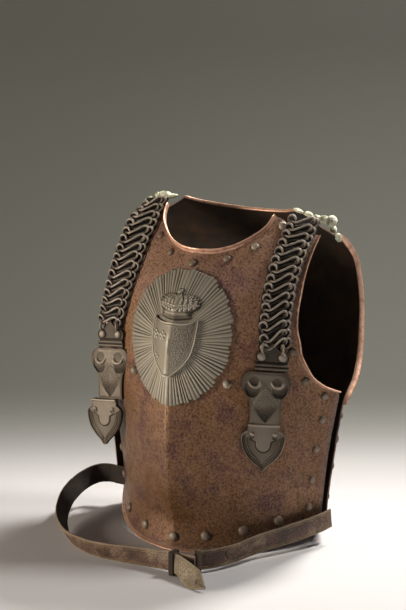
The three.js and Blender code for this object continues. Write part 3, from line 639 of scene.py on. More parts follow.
@dataclass(frozen=True)
class WaxedThread:
    """Twisted linen thread, waxed and yellowed: small pale dashes with a soft twist across them."""

    name: str = "waxed_linen_thread"
    pale: str = "#a8956a"
    dark: str = "#6d5a3d"
    twist: float = 1.1

    def make(self) -> Material:
        """Make the material."""
        paint = Paint(self.name)
        settings = {"bands_direction": "DIAGONAL", "Scale": per_size(self.twist) / math.tau}
        wave = paint.node("TexWave", settings, {"Vector": paint.place}).outputs["Fac"]
        soil = paint.noise(12.0, 3.0)
        base = paint.mix(paint.span(soil, 0.4, 0.65, 0.0, 0.75), self.pale, self.dark)
        normal = paint.bump(wave, 0.15, 0.6)
        return paint.coat({"Metallic": 0.0, "Roughness": 0.75}, {"Base Color": base, "Normal": normal})


@dataclass(frozen=True)
class MattePaper:
    """Uncoated studio paper: even and matt, pale where it lies flat, with painted shade making it grey
    where it climbs.
    """

    name: str = "uncoated_studio_paper"
    floor: str = "#d0cfd0"
    # Painted shade: the same paper, drawn grey on the wall.
    wall: str = "#555650"

    def make(self) -> Material:
        """Make the material."""
        paint = Paint(self.name)
        along = paint.value("climb")
        base = paint.mix(along, self.floor, self.wall)
        fibre = paint.noise(1.5, 2.0)
        normal = paint.bump(fibre, 0.05, 0.3)
        return paint.coat({"Metallic": 0.0, "Roughness": 0.9}, {"Base Color": base, "Normal": normal})


class Finishes:
    """All the finishes of the cuirass and its set, each made once."""

    def __init__(self) -> None:
        """Make every material."""
        self.steel = BrownedSteel().make()
        self.lip = BurnishedLip().make()
        self.inside = RawInside().make()
        self.plaque = CastBrass(
            Cast.PLAQUE, "cast_brass_plaque", "#453f33", "#8e887c", "#b6afa1", 0.4
        ).make()
        self.end_plate = CastBrass(
            Cast.END_PLATE, "cast_brass_end_plate", "#2b241d", "#62594d", "#a0968a", 0.4
        ).make()
        self.rivet = CastBrass(
            Cast.RIVET, "cast_brass_rivet", "#33281d", "#6b594b", "#90806f", 0.3, 0.5
        ).make()
        self.chain = ChainWire().make()
        self.verdigris = Verdigris().make()
        self.belt_face = BeltLeather("harness_leather_face", "#6a5142", "#493730", "#93806b").make()
        self.belt_flesh = BeltLeather(
            "harness_leather_flesh", "#2c231c", "#1d1712", "#43362b", craze_size=4.0, roughness=0.85
        ).make()
        self.belt_tip = BeltLeather("dusty_leather_tip", "#84765f", "#5f503d", "#9c8e76").make()
        self.strap_leather = BeltLeather(
            "blackened_strap_leather", "#1b1511", "#120e0b", "#2c231c", roughness=0.8
        ).make()
        self.thread = WaxedThread().make()
        self.paper = MattePaper().make()


# ----- The plates -----


@dataclass(frozen=True)
class Level:
    """One level section of a plate, in millimetres and degrees."""

    z: float
    centre: float
    side_x: float
    side_y: float
    ridge_bend: float
    side_bend: float


BREAST_LEVELS = tuple(
    Level(*row)
    for row in (
        (0, -129, 148, 0, 34, 26), (22, -126, 149, 0, 30, 25), (44, -125, 149, 0, 26, 24),
        (64, -132, 151, 0, 21, 22), (84, -139, 153, 0, 19, 20), (110, -142.5, 156, 0, 18, 20),
        (150, -144, 162, 0, 18, 20), (182, -142.5, 168, 0, 17, 20), (208, -140, 172, 0, 16, 20),
        (238, -136.5, 170, -12, 13, 17), (270, -132, 158, -32, 9, 13), (294, -126, 146, -43, 7, 10),
        (318, -115, 140, -42, 6, 9), (341, -100, 139, -36, 6, 8), (362, -83.5, 138.5, -26, 8, 8),
        (384, -66, 140, -11, 10, 8), (405, -46, 142, 9, 12, 8), (432, -16, 147, 33, 14, 8),
    )
)
BACK_LEVELS = tuple(
    Level(*row)
    for row in (
        (0, 95, 153.5, 4, 31, 34), (22, 85, 154.5, 4, 29, 35), (50, 80, 155.5, 4, 27, 36),
        (84, 88, 159.5, 4, 28, 36), (125, 97, 165.5, 4, 29, 36), (165, 105, 171.5, 4, 29, 36),
        (196, 110, 177.5, 5, 29, 36), (218, 113, 180.5, 26, 26, 34), (240, 115, 178.5, 46, 21, 28),
        (268, 117, 173.5, 65, 16, 22), (302, 118, 166.5, 84, 11, 14), (338, 117, 160.5, 94, 8, 9),
        (360, 112, 155.5, 95, 7, 8), (382, 100, 147.5, 80, 8, 8), (398, 89, 144.5, 58, 12, 10),
        (410, 79, 143.5, 42, 15, 10), (436, 55, 142.5, 22, 14, 9),
    )
)
LEVEL_COLUMNS = ("centre", "side_x", "side_y", "ridge_bend", "side_bend")


class PlateSkin:
    """The outer skin of one plate; across runs from -1 to 1, side to side, and z is the height."""

    RIDGE_HANDLE = 0.41
    SIDE_HANDLE = 0.36

    def __init__(self, levels: Sequence[Level], facing: int) -> None:
        """Keep the level sections.

        Args:
            levels: The sections from the lower edge up.
            facing: -1 for the breast and 1 for the back.
        """
        self.facing = facing
        self.heights = np.array([level.z for level in levels], float)
        self.columns = np.array([[getattr(level, c) for c in LEVEL_COLUMNS] for level in levels])
        gap = np.arange(len(levels))
        low, high = np.maximum(gap - 1, 0), np.minimum(gap + 1, len(levels) - 1)
        rise = (self.heights[high] - self.heights[low])[:, None]
        self.slopes = (self.columns[high] - self.columns[low]) / rise

    def section(self, z: Array) -> Array:
        """Ease the section values from level to level by smooth cubic steps.

        Args:
            z: Heights in millimetres.

        Returns:
            The values named in LEVEL_COLUMNS, one row for each height.
        """
        i = np.clip(np.searchsorted(self.heights, z, side="right") - 1, 0, len(self.heights) - 2)
        span = (self.heights[i + 1] - self.heights[i])[:, None]
        s = np.clip((z - self.heights[i])[:, None] / span, -0.5, 1.5)
        return (
            self.columns[i] * (2 * s**3 - 3 * s**2 + 1)
            + self.slopes[i] * span * (s**3 - 2 * s**2 + s)
            + self.columns[i + 1] * (3 * s**2 - 2 * s**3)
            + self.slopes[i + 1] * span * (s**3 - s**2)
        )

    def point(self, across: Array, z: Array) -> Array:
        """Give the skin's points.

        Args:
            across: Place across the plate, from -1 to 1.
            z: Height in millimetres.

        Returns:
            One point per row.
        """
        across, z = np.broadcast_arrays(np.asarray(across, float), np.asarray(z, float))
        shape = across.shape
        across, z = across.ravel(), z.ravel()
        centre, side_x, side_y, ridge, side = self.section(z).T
        start = np.stack([np.zeros_like(centre), centre], axis=1)
        end = np.stack([side_x, side_y], axis=1)

        def handle(length: float, degrees: Array) -> Array:
            """Turn the chord and scale it, for one of the curve's two handles.

            Args:
                length: The handle's length, as a share of the chord.
                degrees: How far it turns from the chord.

            Returns:
                The handle's X and Y at each height.
            """
            angle = np.radians(self.facing * degrees)
            x, y = (length * (end - start)).T
            cos, sin = np.cos(angle), np.sin(angle)
            return np.stack([x * cos - y * sin, x * sin + y * cos], axis=1)

        first = start + handle(self.RIDGE_HANDLE, ridge)
        second = end + handle(-self.SIDE_HANDLE, -side)
        t = np.abs(across)[:, None]
        flat = (
            start * (1 - t) ** 3
            + 3 * first * (1 - t) ** 2 * t
            + 3 * second * (1 - t) * t**2
            + end * t**3
        )
        found = np.stack([np.sign(across) * flat[:, 0], flat[:, 1], z], axis=1)
        return found.reshape(*shape, 3)

    def normal(self, across: Array, z: Array) -> Array:
        """Give outward unit normals, each taken from one side of the ridge only.

        Args:
            across: Place across the plate, from -1 to 1.
            z: Height in millimetres.

        Returns:
            One normal per row.
        """
        across, z = np.broadcast_arrays(np.asarray(across, float), np.asarray(z, float))
        side = np.where(across < 0, -1.0, 1.0)
        a = np.maximum(np.abs(across), 0.002)
        along_x = self.point(side * (a + 0.002), z) - self.point(side * (a - 0.002), z)
        along_z = self.point(side * a, z + 0.5) - self.point(side * a, z - 0.5)
        found = unit(np.cross(along_x, along_z))
        found *= np.where(found[..., 1:2] * self.facing < 0, -1.0, 1.0)
        found[..., 0] = np.where(np.abs(across) < 0.001, 0.0, found[..., 0])
        return unit(found)

    def across_at(self, x: Array, z: Array) -> Array:
        """Find the place across the plate that has this X at this height.

        Args:
            x: X in millimetres.
            z: Height in millimetres.

        Returns:
            Places across, from -1 to 1.
        """
        x, z = np.broadcast_arrays(np.asarray(x, float), np.asarray(z, float))
        low, high = np.zeros(x.shape), np.full(x.shape, 1.1)
        for _ in range(30):
            middle = (low + high) / 2
            short = self.point(middle, z)[..., 0] < np.abs(x)
            low, high = np.where(short, middle, low), np.where(short, high, middle)
        return np.sign(x) * (low + high) / 2

    def at(self, x: Array, z: Array, out: Array | float = 0.0) -> Array:
        """Give points at X and Z, standing out from the skin by out millimetres."""
        across = self.across_at(x, z)
        return self.point(across, z) + np.asarray(out)[..., None] * self.normal(across, z)

    def wrap(self, along: Array, z: Array, out: Array) -> Array:
        """Lay a drawing over the skin.

        Args:
            along: Millimetres along the level section from the ridge.
            z: Height in millimetres.
            out: Millimetres out from the skin.

        Returns:
            One point per row.
        """
        heights = np.arange(z.min() - 4.0, z.max() + 8.0, 4.0)
        ways = np.linspace(0.0, 1.0, 61)
        net = self.point(ways[None, :], heights[:, None])
        steps = np.linalg.norm(np.diff(net, axis=1), axis=2)
        travelled = np.concatenate([np.zeros((len(heights), 1)), np.cumsum(steps, axis=1)], axis=1)
        row = np.clip((z - heights[0]) / 4.0, 0, len(heights) - 1.001)
        index = row.astype(int)
        part = row - index
        found = np.zeros_like(z)
        for k in range(len(heights) - 1):
            here = index == k
            if here.any():
                way = np.abs(along[here])
                low = np.interp(way, travelled[k], ways)
                high = np.interp(way, travelled[k + 1], ways)
                found[here] = low + (high - low) * part[here]
        across = np.sign(along) * found
        return self.point(across, z) + out[:, None] * self.normal(across, z)


class PlateOutline:
    """The outline of a plate in (across, z), and the smooth net stretched inside it."""

    EDGE_HEIGHT = 5.0
    SEAM_BASE = 35.0
    EDGE_RISE = 2.4
    NECK_SHARE = 0.62

    def __init__(
        self,
        skin: PlateSkin,
        neck: Sequence[tuple[float, float]],
        shoulder: tuple[float, float],
        armhole: Sequence[tuple[float, float]],
        seam_share: float,
    ) -> None:
        """Keep the cut edges of half the plate, given by X and height.

        Args:
            skin: The skin that the plate is cut from.
            neck: The neck edge, from the middle outward.
            shoulder: The outer end of the shoulder line.
            armhole: The armhole edge, from the seam up.
            seam_share: How much of the net's side is the straight seam.
        """
        self.skin = skin
        self.neck = self.curve(neck)
        self.armhole = self.curve(armhole)
        self.shoulder = self.flat([shoulder])[0]
        self.seam_share = seam_share
        self.neck_height = neck[0][1]

    def flat(self, places: Sequence[tuple[float, float]]) -> Array:
        """Turn (X, height) pairs into (across, height)."""
        x, z = np.array(places, float).T
        return np.stack([self.skin.across_at(x, z), z], axis=1)

    def curve(self, places: Sequence[tuple[float, float]]) -> Array:
        """Run a fine smooth curve through (X, height) pairs."""
        return catmull_rom(self.flat(places), 240)

    @staticmethod
    def along(curve: Array, share: Array) -> Array:
        """Pick places on a fine curve by share of its length."""
        return read_at(share, np.linspace(0.0, 1.0, len(curve)), curve)

    def bottom(self, u: Array) -> Array:
        """Give places on the lower edge."""
        rise = self.EDGE_HEIGHT + (self.SEAM_BASE - self.EDGE_HEIGHT) * u**self.EDGE_RISE
        return np.stack([u, rise], axis=-1)

    def side(self, v: Array) -> Array:
        """Give places on the seam and then the armhole.

        Args:
            v: Share of the way up the net.

        Returns:
            (across, height) of each place.
        """
        base, top = np.array([1.0, self.SEAM_BASE]), self.armhole[0]
        seam = base + (top - base) * np.minimum(v / self.seam_share, 1.0)[..., None]
        arm = self.along(self.armhole, (v - self.seam_share) / (1.0 - self.seam_share))
        return np.where((v <= self.seam_share)[..., None], seam, arm)

    def middle(self, v: Array) -> Array:
        """Give places on the ridge."""
        rise = self.EDGE_HEIGHT + (self.neck_height - self.EDGE_HEIGHT) * v
        return np.stack([np.zeros_like(v), rise], axis=-1)

    def top(self, u: Array) -> Array:
        """Give places on the neck edge and then the shoulder line.

        Args:
            u: Share of the way out from the ridge.

        Returns:
            (across, height) of each place.
        """
        neck = self.along(self.neck, u / self.NECK_SHARE)
        part = np.clip((u - self.NECK_SHARE) / (1.0 - self.NECK_SHARE), 0.0, 1.0)[..., None]
        line = self.neck[-1] + (self.shoulder - self.neck[-1]) * part
        return np.where((u <= self.NECK_SHARE)[..., None], neck, line)

    def place(self, u: Array, v: Array) -> tuple[Array, Array]:
        """Stretch the net between the four edges.

        Args:
            u: Share across the net, from -1 to 1.
            v: Share up the net, from 0 to 1.

        Returns:
            The place across the plate and the height of each net point.
        """
        u, v = np.broadcast_arrays(np.asarray(u, float), np.asarray(v, float))
        a = np.abs(u)
        one, zero = np.ones_like(a), np.zeros_like(a)
        ax, vx = a[..., None], v[..., None]
        plan = (
            self.middle(v) * (1 - ax)
            + self.side(v) * ax
            + self.bottom(a) * (1 - vx)
            + self.top(a) * vx
            - self.middle(zero) * (1 - ax) * (1 - vx)
            - self.side(zero) * ax * (1 - vx)
            - self.middle(one) * (1 - ax) * vx
            - self.side(one) * ax * vx
        )
        return np.sign(u) * plan[..., 0], plan[..., 1]

    def point(self, u: Array, v: Array, out: Array | float = 0.0) -> Array:
        """Give net points, standing out from the skin by out millimetres."""
        across, z = self.place(u, v)
        return self.skin.point(across, z) + np.asarray(out)[..., None] * self.skin.normal(across, z)

    def normal(self, u: Array, v: Array) -> Array:
        """Give outward unit normals at net places."""
        return self.skin.normal(*self.place(u, v))


BREAST_SKIN = PlateSkin(BREAST_LEVELS, -1)
BACK_SKIN = PlateSkin(BACK_LEVELS, 1)
BREAST_OUTLINE = PlateOutline(
    BREAST_SKIN,
    neck=((0, 384), (25, 385.5), (47, 392), (62, 401), (72, 409.5), (77, 418), (79, 428)),
    shoulder=(137.5, 406),
    armhole=(
        (172, 208), (166, 213), (158, 221), (149, 236), (141, 261), (136.5, 290), (134, 325),
        (134.5, 355), (135.5, 384), (137.5, 406),
    ),
    seam_share=0.47,
)
BACK_OUTLINE = PlateOutline(
    BACK_SKIN,
    neck=((0, 416), (30, 417), (57, 420), (74, 424), (84, 428)),
    shoulder=(136, 394),
    armhole=(
        (175, 190), (176, 216), (171, 240), (165, 268), (157, 302), (150, 332), (144, 354),
        (139, 374), (136, 394),
    ),
    seam_share=0.45,
)


class Edge(Enum):
    """The edges of a plate that are turned out into a lip."""

    NECK = "neck"
    ARMHOLE_RIGHT = "armhole_right"
    ARMHOLE_LEFT = "armhole_left"
    LOWER = "lower"


WIDE_LIP = (
    (-2.4, -0.6), (-1.0, -1.6), (0.7, -1.4), (1.7, 0.6), (2.1, 3.2), (1.9, 5.4), (0.8, 6.4),
    (-0.4, 5.6), (-0.6, 3.5), (-1.0, 1.4),
)
LOW_LIP = (
    (-3.2, -0.2), (-1.8, -1.3), (0.8, -1.3), (1.7, 0.6), (1.6, 2.4), (0.4, 3.3), (-1.2, 2.6),
    (-1.8, 1.0),
)


@dataclass
class Plate:
    """One wrought plate of the cuirass, with its turned lips.

    Attributes:
        columns: Net cells on each side of the ridge.
        rows: Net cells from the lower edge up.
        dent: Height in millimetres of the soft hammer dents.
        left_spread: How far its left side stands off, past the edge of the other plate.
    """

    name: str
    outline: PlateOutline
    thickness: float
    neck_section: Sequence[tuple[float, float]]
    columns: int = 64
    rows: int = 120
    dent: float = 0.45
    seed: float = 3.1
    left_spread: float = 0.0

    REACH, RISE = 150.0, 380.0
    """About how far the net reaches to each side, and how tall it is, in millimetres."""

    def build(self, finishes: Finishes) -> Piece:
        """Build the plate and its lips.

        Args:
            finishes: The finishes to dress it in.

        Returns:
            The plate, which its lips are joined to as one piece.
        """
        parts = MeshParts()
        self.add_wall(parts)
        for edge in Edge:
            self.add_lip(parts, edge)
        return parts.make(f"{self.name}_wrought", [finishes.steel, finishes.inside, finishes.lip])

    def net_ways(self) -> tuple[Array, Array]:
        """Space the net so that its lines are close at the ridge and fall on the corners."""
        half = np.concatenate([[0.0, 0.004, 0.012], np.linspace(0.03, 1.0, self.columns)])
        half = np.sort(np.append(half, PlateOutline.NECK_SHARE))
        across = np.concatenate([-half[:0:-1], half])
        up = np.sort(np.append(np.linspace(0.0, 1.0, self.rows), self.outline.seam_share))
        return across, up

    def opened(self, points: Array) -> Array:
        """Open the left side of the plate a little."""
        share = smoothstep(60.0, 150.0, -points[:, 0])[:, None]
        return points + self.left_spread * share * np.array([-0.9, -0.42, 0.0])

    def add_wall(self, parts: MeshParts) -> None:
        """Add the plate's wall: outer face, inner face and the rim between them.

        Args:
            parts: What the wall is added to.
        """
        across, up = self.net_ways()
        u, v = (a.ravel() for a in np.meshgrid(across, up))
        normals = self.outline.normal(u, v)
        outer = self.opened(self.outline.point(u, v))
        swell = rolling_noise(outer, 46.0, self.seed) + 0.5 * rolling_noise(outer, 19.0, self.seed + 5)
        outer = outer + (self.dent * swell)[:, None] * normals
        inner = outer - self.thickness * normals
        wide, tall = len(across), len(up)
        rim_distance = np.minimum.reduce([(1 - np.abs(u)) * self.REACH, v * self.RISE, (1 - v) * self.RISE])
        edge = 1.0 - smoothstep(1.0, 7.0, rim_distance + 2.5 * rolling_noise(outer, 12.0, 8.4))
        # Painted highlight: the upper chest is drawn lighter, towards the rubbed colour, as light from
        # above falls on it.
        painted_chest_sheen = smoothstep(255.0, 345.0, outer[:, 2]) * (0.7 + 0.3 * rolling_noise(outer, 34.0, 2.2))
        edge = np.clip(np.maximum(edge, 0.75 * painted_chest_sheen), 0.0, 1.0)
        soot = self.soot(outer, u, v)
        cells = grid_faces(tall, wide)
        loop = np.concatenate(
            [
                np.arange(wide),
                np.arange(1, tall) * wide + wide - 1,
                (tall - 1) * wide + np.arange(wide - 2, -1, -1),
                np.arange(tall - 2, 0, -1) * wide,
            ]
        )
        after = np.roll(loop, -1)
        size = len(outer)
        rim = np.stack([loop, after, after + size, loop + size], axis=1)
        faces = np.vstack([cells, cells + size, rim])
        slots = np.concatenate(
            [np.zeros(len(cells), int), np.ones(len(cells), int), np.zeros(len(rim), int)]
        )
        values = {"edge": np.tile(edge, 2), "soot": np.tile(soot, 2)}
        parts.add(np.vstack([outer, inner]), faces, slots, **values)

    def soot(self, points: Array, u: Array, v: Array) -> Array:
        """Darken the plate near the side seam, with painted shade low down and a painted shadow on the left
        flank.

        Args:
            points: The points of the outer face.
            u: Their share across the net.
            v: Their share up the net.

        Returns:
            How dark each is, from 0 to 1.
        """
        seam = 1.0 - smoothstep(0.0, 9.0, (1 - np.abs(u)) * self.REACH)
        cloud = 0.5 + 0.5 * rolling_noise(points, 30.0, self.seed + 2)
        # Painted shade: the plate darkens towards the bottom, as light from above leaves its lower part
        # dim.
        low = 0.42 * smoothstep(300.0, 150.0, points[:, 2]) * (0.75 + 0.25 * cloud)
        # Painted shadow: the dark band that the left strap's end plates cast on the left flank.
        flank = 0.5 * smoothstep(98.0, 132.0, -points[:, 0]) * smoothstep(300.0, 240.0, points[:, 2])
        return np.clip(0.35 * seam * (v < self.outline.seam_share) * cloud + low + flank, 0.0, 0.75)

    def add_lip(self, parts: MeshParts, edge: Edge) -> None:
        """Sweep one turned lip along its edge.

        Args:
            parts: What the lip is added to.
            edge: The edge to turn.
        """
        share, seam = PlateOutline.NECK_SHARE, self.outline.seam_share
        if edge is Edge.NECK:
            u, v = np.linspace(-share, share, 200), np.ones(200)
            section = self.neck_section
        elif edge is Edge.LOWER:
            u, v = np.linspace(-1.0, 1.0, 220), np.zeros(220)
            section = LOW_LIP
        else:
            side = 1.0 if edge is Edge.ARMHOLE_RIGHT else -1.0
            v = np.linspace(seam, 1.0, 170)
            u = np.full(170, side)
            section = WIDE_LIP
        path = self.opened(self.outline.point(u, v))
        up = self.outline.normal(u, v)
        along = unit(np.gradient(path, axis=0))
        out = unit(np.cross(along, up))
        inside = self.opened(self.outline.point(u * 0.9, v + (0.5 - v) * 0.1))
        out *= np.where(np.sum(out * (path - inside), axis=1) < 0, -1.0, 1.0)[:, None]
        up = unit(up + 0.12 * out)
        smooth = catmull_rom(np.array(section, float), 22, closed=True) * np.array([0.85, 0.9])
        wave = 1.0 + 0.09 * rolling_noise(path, 22.0, self.seed + 7)
        taper = np.ones(len(path))
        if edge is not Edge.LOWER:
            ends = np.minimum(np.arange(len(path)), np.arange(len(path))[::-1])
            taper = 0.72 + 0.28 * smoothstep(0.0, 9.0, ends)
        sections = smooth[None, :, :] * (wave * taper)[:, None, None]
        parts.add(*swept(path, (out, up), sections), 2)


# ----- Castings in relief -----


def mirrored(half: Sequence[tuple[float, float]]) -> Array:
    """Close an outline from its right half, given from the top down."""
    right = [tuple(place) for place in half]
    left = [(-p, q) for p, q in reversed(right) if p > 0]
    return np.array(right + left, float)


def dome(distance: Array, radius: float, height: float) -> Array:
    """Give the height of a round boss at a distance from its middle."""
    return height * np.sqrt(np.clip(1.0 - (distance / radius) ** 2, 0.0, 1.0))


def reach(p: Array, q: Array, middle: tuple[float, float]) -> Array:
    """Give the distance from a place."""
    return np.hypot(p - middle[0], q - middle[1])


def line_distance(p: Array, q: Array, points: Sequence[tuple[float, float]]) -> Array:
    """Give the distance to a line through points.

    Args:
        p: Places across.
        q: Places up.
        points: The line's points.

    Returns:
        The distance of each place from the line's nearest point.
    """
    nearest = np.full(np.shape(p), np.inf)
    for (ax, ay), (bx, by) in zip(points[:-1], points[1:], strict=True):
        dx, dy = bx - ax, by - ay
        share = np.clip(((p - ax) * dx + (q - ay) * dy) / (dx * dx + dy * dy), 0.0, 1.0)
        nearest = np.minimum(nearest, np.hypot(p - ax - share * dx, q - ay - share * dy))
    return nearest


def bead(distance: Array, half_width: float, height: float) -> Array:
    """Give the height of a rounded moulding at a distance from its middle line."""
    return height * np.sqrt(np.clip(1.0 - (distance / half_width) ** 2, 0.0, 1.0))


def arc(
    middle: tuple[float, float], radius: float, start: float, end: float, count: int = 14
) -> list[tuple[float, float]]:
    """Give points on an arc, between two angles in degrees."""
    angles = np.radians(np.linspace(start, end, count))
    return [(middle[0] + radius * math.cos(a), middle[1] + radius * math.sin(a)) for a in angles]


@dataclass
class Casting:
    """A closed body in relief, made of rings that shrink from its outline to its centre.

    Attributes:
        outline: Its edge, as (across, up) places.
        centre: The place that the rings shrink to.
        relief: Gives the front's height at each place, from across, up and the distance to the edge.
        rim: How far the front drops at its edge.
    """

    outline: Array
    centre: tuple[float, float]
    relief: Callable[[Array, Array, Array], Array]
    back: float = 0.0
    rings: int = 44
    rim: float = 0.5

    def shell(self, lay: Callable[[Array, Array, Array], Array]) -> tuple[Array, Array, Array]:
        """Build the body.

        Args:
            lay: Turns across, up and out into points.

        Returns:
            The points, the faces and each point's height.
        """
        edge = np.asarray(self.outline, float)
        count = len(edge)
        hub = np.array(self.centre)
        depth = np.linalg.norm(edge - hub, axis=1)
        inward = np.linspace(0.0, 1.0, self.rings + 1)[:-1] ** 1.15
        shares = 1.0 - inward
        plan = hub + (edge - hub)[None, :, :] * shares[:, None, None]
        inset = (1.0 - shares)[:, None] * depth[None, :]
        p, q = plan[..., 0].ravel(), plan[..., 1].ravel()
        height = self.relief(p, q, inset.ravel())
        height[:count] = np.maximum(self.back + 0.2, height[:count] - self.rim)
        hub_height = self.relief(hub[0:1], hub[1:2], np.array([depth.mean()]))
        back_plan = hub + (edge - hub)[None, :, :] * np.array([1.0, 0.66, 0.33])[:, None, None]
        bp, bq = back_plan[..., 0].ravel(), back_plan[..., 1].ravel()
        back = np.full(len(bp), self.back)
        all_p = np.concatenate([bp[::-1], p, hub[0:1], hub[0:1]])
        all_q = np.concatenate([bq[::-1], q, hub[1:2], hub[1:2]])
        out = np.concatenate([back, height, hub_height, [self.back]])
        back_order = np.arange(3 * count)[::-1].reshape(3, count)
        front_order = 3 * count + np.arange(self.rings * count).reshape(self.rings, count)
        order = np.vstack([back_order[::-1], front_order]).ravel()
        faces = order[grid_faces(3 + self.rings, count, wrap_columns=True)]
        top = (3 + self.rings) * count
        caps = [fan(front_order[-1], top), fan(back_order[2], top + 1, flip=True)]
        return lay(all_p, all_q, out), np.vstack([faces, *caps]), out


@dataclass
class SunburstPlaque:
    """The rayed plaque on the breast, with a crown over a shield, in millimetres.

    The shield is parted in two: a plain half with three rosettes, and a stippled half.
    """

    centre: float = 282.0
    half_height: float = 83.0
    right_width: float = 78.0
    left_width: float = 86.0
    rays: int = 96
    standoff: float = 1.0
    wall: float = 2.4
    around: int = 880

    SHIELD = (
        (0, 303), (9, 302.2), (18, 302.6), (26, 304), (31.5, 306), (32, 292), (31, 278), (27, 264),
        (19, 252), (9, 243), (0, 237),
    )
    CROWN = (
        (0, 341.8), (2.2, 341.0), (3.0, 338.6), (2.4, 336.2), (7, 335.6), (13, 335.2), (20, 333.8),
        (26, 331.0), (29.8, 326.8), (30.2, 322.4), (27.4, 318.4), (22.4, 315.4), (20.6, 312),
        (21.4, 307.8), (12, 306.0), (0, 305.4),
    )

    def build(self, finishes: Finishes) -> Piece:
        """Build the plaque.

        Args:
            finishes: The finishes to dress it in.

        Returns:
            The rays, the shield and the crown as one casting.
        """
        parts = MeshParts()
        self.add_rays(parts)
        self.add_shield(parts)
        self.add_crown(parts)
        return parts.make("sunburst_plaque_cast", [finishes.plaque])

    def lay(self, p: Array, q: Array, out: Array) -> Array:
        """Lay a place over the breast."""
        return BREAST_SKIN.wrap(p, q, out)

    def ray_edges(self) -> tuple[Array, Array]:
        """Give the angles that part the rays, and the reach of each ray."""
        spread = np.random.default_rng(41)
        widths = spread.uniform(0.72, 1.3, self.rays)
        edges = np.concatenate([[0.0], np.cumsum(widths)]) / widths.sum() * math.tau
        middle = (edges[:-1] + edges[1:]) / 2
        bunch = 0.5 + 0.5 * np.cos(middle * 17.0 + 0.8 * np.sin(middle * 3.0))
        lengths = 0.976 + 0.014 * bunch + spread.uniform(-0.011, 0.011, self.rays)
        chipped = (spread.random(self.rays) < 0.12) & (np.cos(middle + 0.6) > -0.3)
        return edges, np.where(chipped, lengths - 0.028, lengths)

    def add_rays(self, parts: MeshParts) -> None:
        """Add the disc of rays.

        Args:
            parts: What the disc is added to.
        """
        edges, lengths = self.ray_edges()
        angle = np.linspace(0.0, math.tau, self.around, endpoint=False)
        ray = np.clip(np.searchsorted(edges, angle, side="right") - 1, 0, self.rays - 1)
        part = (angle - edges[ray]) / (edges[ray + 1] - edges[ray])
        crest = 1.0 - np.abs(2.0 * part - 1.0) ** 2.2
        tip = lengths[ray] - 0.012 * (1.0 - crest) ** 1.5
        width = np.where(np.cos(angle) > 0, self.right_width, self.left_width)
        shape = np.stack([width * np.cos(angle), self.half_height * np.sin(angle)], axis=1)
        outline = shape * tip[:, None] + np.array([0.0, self.centre])
        rings = 44
        crests = np.tile(crest, rings)
        deep = 0.5 + 0.5 * np.cos(edges[ray] * 17.0 + 0.8 * np.sin(edges[ray] * 3.0))
        groove = np.tile(0.75 + 0.9 * (1.0 - deep), rings)

        def relief(p: Array, q: Array, inset: Array) -> Array:
            """Carve the rays, which grow deeper outward over a slightly bowed disc.

            Args:
                p: Places across.
                q: Places up.
                inset: Distances in from the edge.

            Returns:
                The height at each place.
            """
            if len(p) == 1:
                return np.array([self.standoff + self.wall])
            share = np.hypot(p / 82.0, (q - self.centre) / self.half_height)
            grow = smoothstep(0.12, 0.75, share)
            carve = (0.2 + 0.85 * grow) * groove * (1.0 - 0.55 * smoothstep(0.93, 0.985, share))
            bowl = 0.8 * (1.0 - share**2)
            return self.standoff + self.wall + bowl + carve * (crests - 0.75)

        casting = Casting(outline, (0.0, self.centre), relief, self.standoff, rings, 0.45)
        points, faces, out = casting.shell(self.lay)
        low = self.standoff + self.wall - 1.4
        parts.add(points, faces, height=np.clip((out - low) / 2.6, 0.0, 1.0))

    def fine(self, half: Sequence[tuple[float, float]], count: int) -> Array:
        """Smooth a mirrored outline."""
        return catmull_rom(mirrored(half), count, closed=True)

    def add_shield(self, parts: MeshParts) -> None:
        """Add the shield.

        Args:
            parts: What the shield is added to.
        """
        spread = np.random.default_rng(7)
        dots = np.stack([spread.uniform(2, 29, 900), spread.uniform(241, 301, 900)], axis=1)

        def relief(p: Array, q: Array, inset: Array) -> Array:
            """Raise the shield's rim, its stippled half and its rosettes.

            Args:
                p: Places across.
                q: Places up.
                inset: Distances in from the edge.

            Returns:
                The height at each place.
            """
            field_height = self.standoff + 5.6 + 0.9 * (1.0 - (p / 34.0) ** 2)
            rim = bead(np.abs(inset - 1.3), 1.5, 1.3) + bead(np.abs(inset - 4.0), 0.7, 0.5)
            part_line = 0.15 * smoothstep(0.6, -0.6, p) * (inset > 3.5)
            inside = smoothstep(4.4, 5.4, inset)
            stipple = np.zeros_like(p)
            right = (p > 1.5) & (inset > 4.6)
            if right.any():
                gap = np.hypot(p[right][:, None] - dots[:, 0], q[right][:, None] - dots[:, 1]).min(1)
                stipple[right] = dome(gap, 0.62, 0.5)
            raised = np.zeros_like(p)
            for middle in ((-22.5, 286.0), (-8.4, 286.0), (-18.4, 258.5)):
                raised = np.maximum(raised, self.rosette(p, q, middle))
            return field_height + rim + part_line + (stipple + raised) * inside

        outline = self.fine(self.SHIELD, 300)
        casting = Casting(outline, (0.0, 277.0), relief, self.standoff + 1.5, 62, 1.6)
        points, faces, out = casting.shell(self.lay)
        low = self.standoff + 5.2
        parts.add(points, faces, height=np.clip((out - low) / 2.6, 0.1, 1.0))

    @staticmethod
    def rosette(p: Array, q: Array, middle: tuple[float, float]) -> Array:
        """Give the height of a small flower of five round petals.

        Args:
            p: Places across.
            q: Places up.
            middle: The flower's own place.

        Returns:
            The height at each place.
        """
        height = dome(reach(p, q, middle), 2.3, 2.0)
        for k in range(5):
            turn = math.radians(90 + 72 * k)
            petal = (middle[0] + 4.2 * math.cos(turn), middle[1] + 4.2 * math.sin(turn))
            height = np.maximum(height, dome(reach(p, q, petal), 2.2, 1.7))
        return height

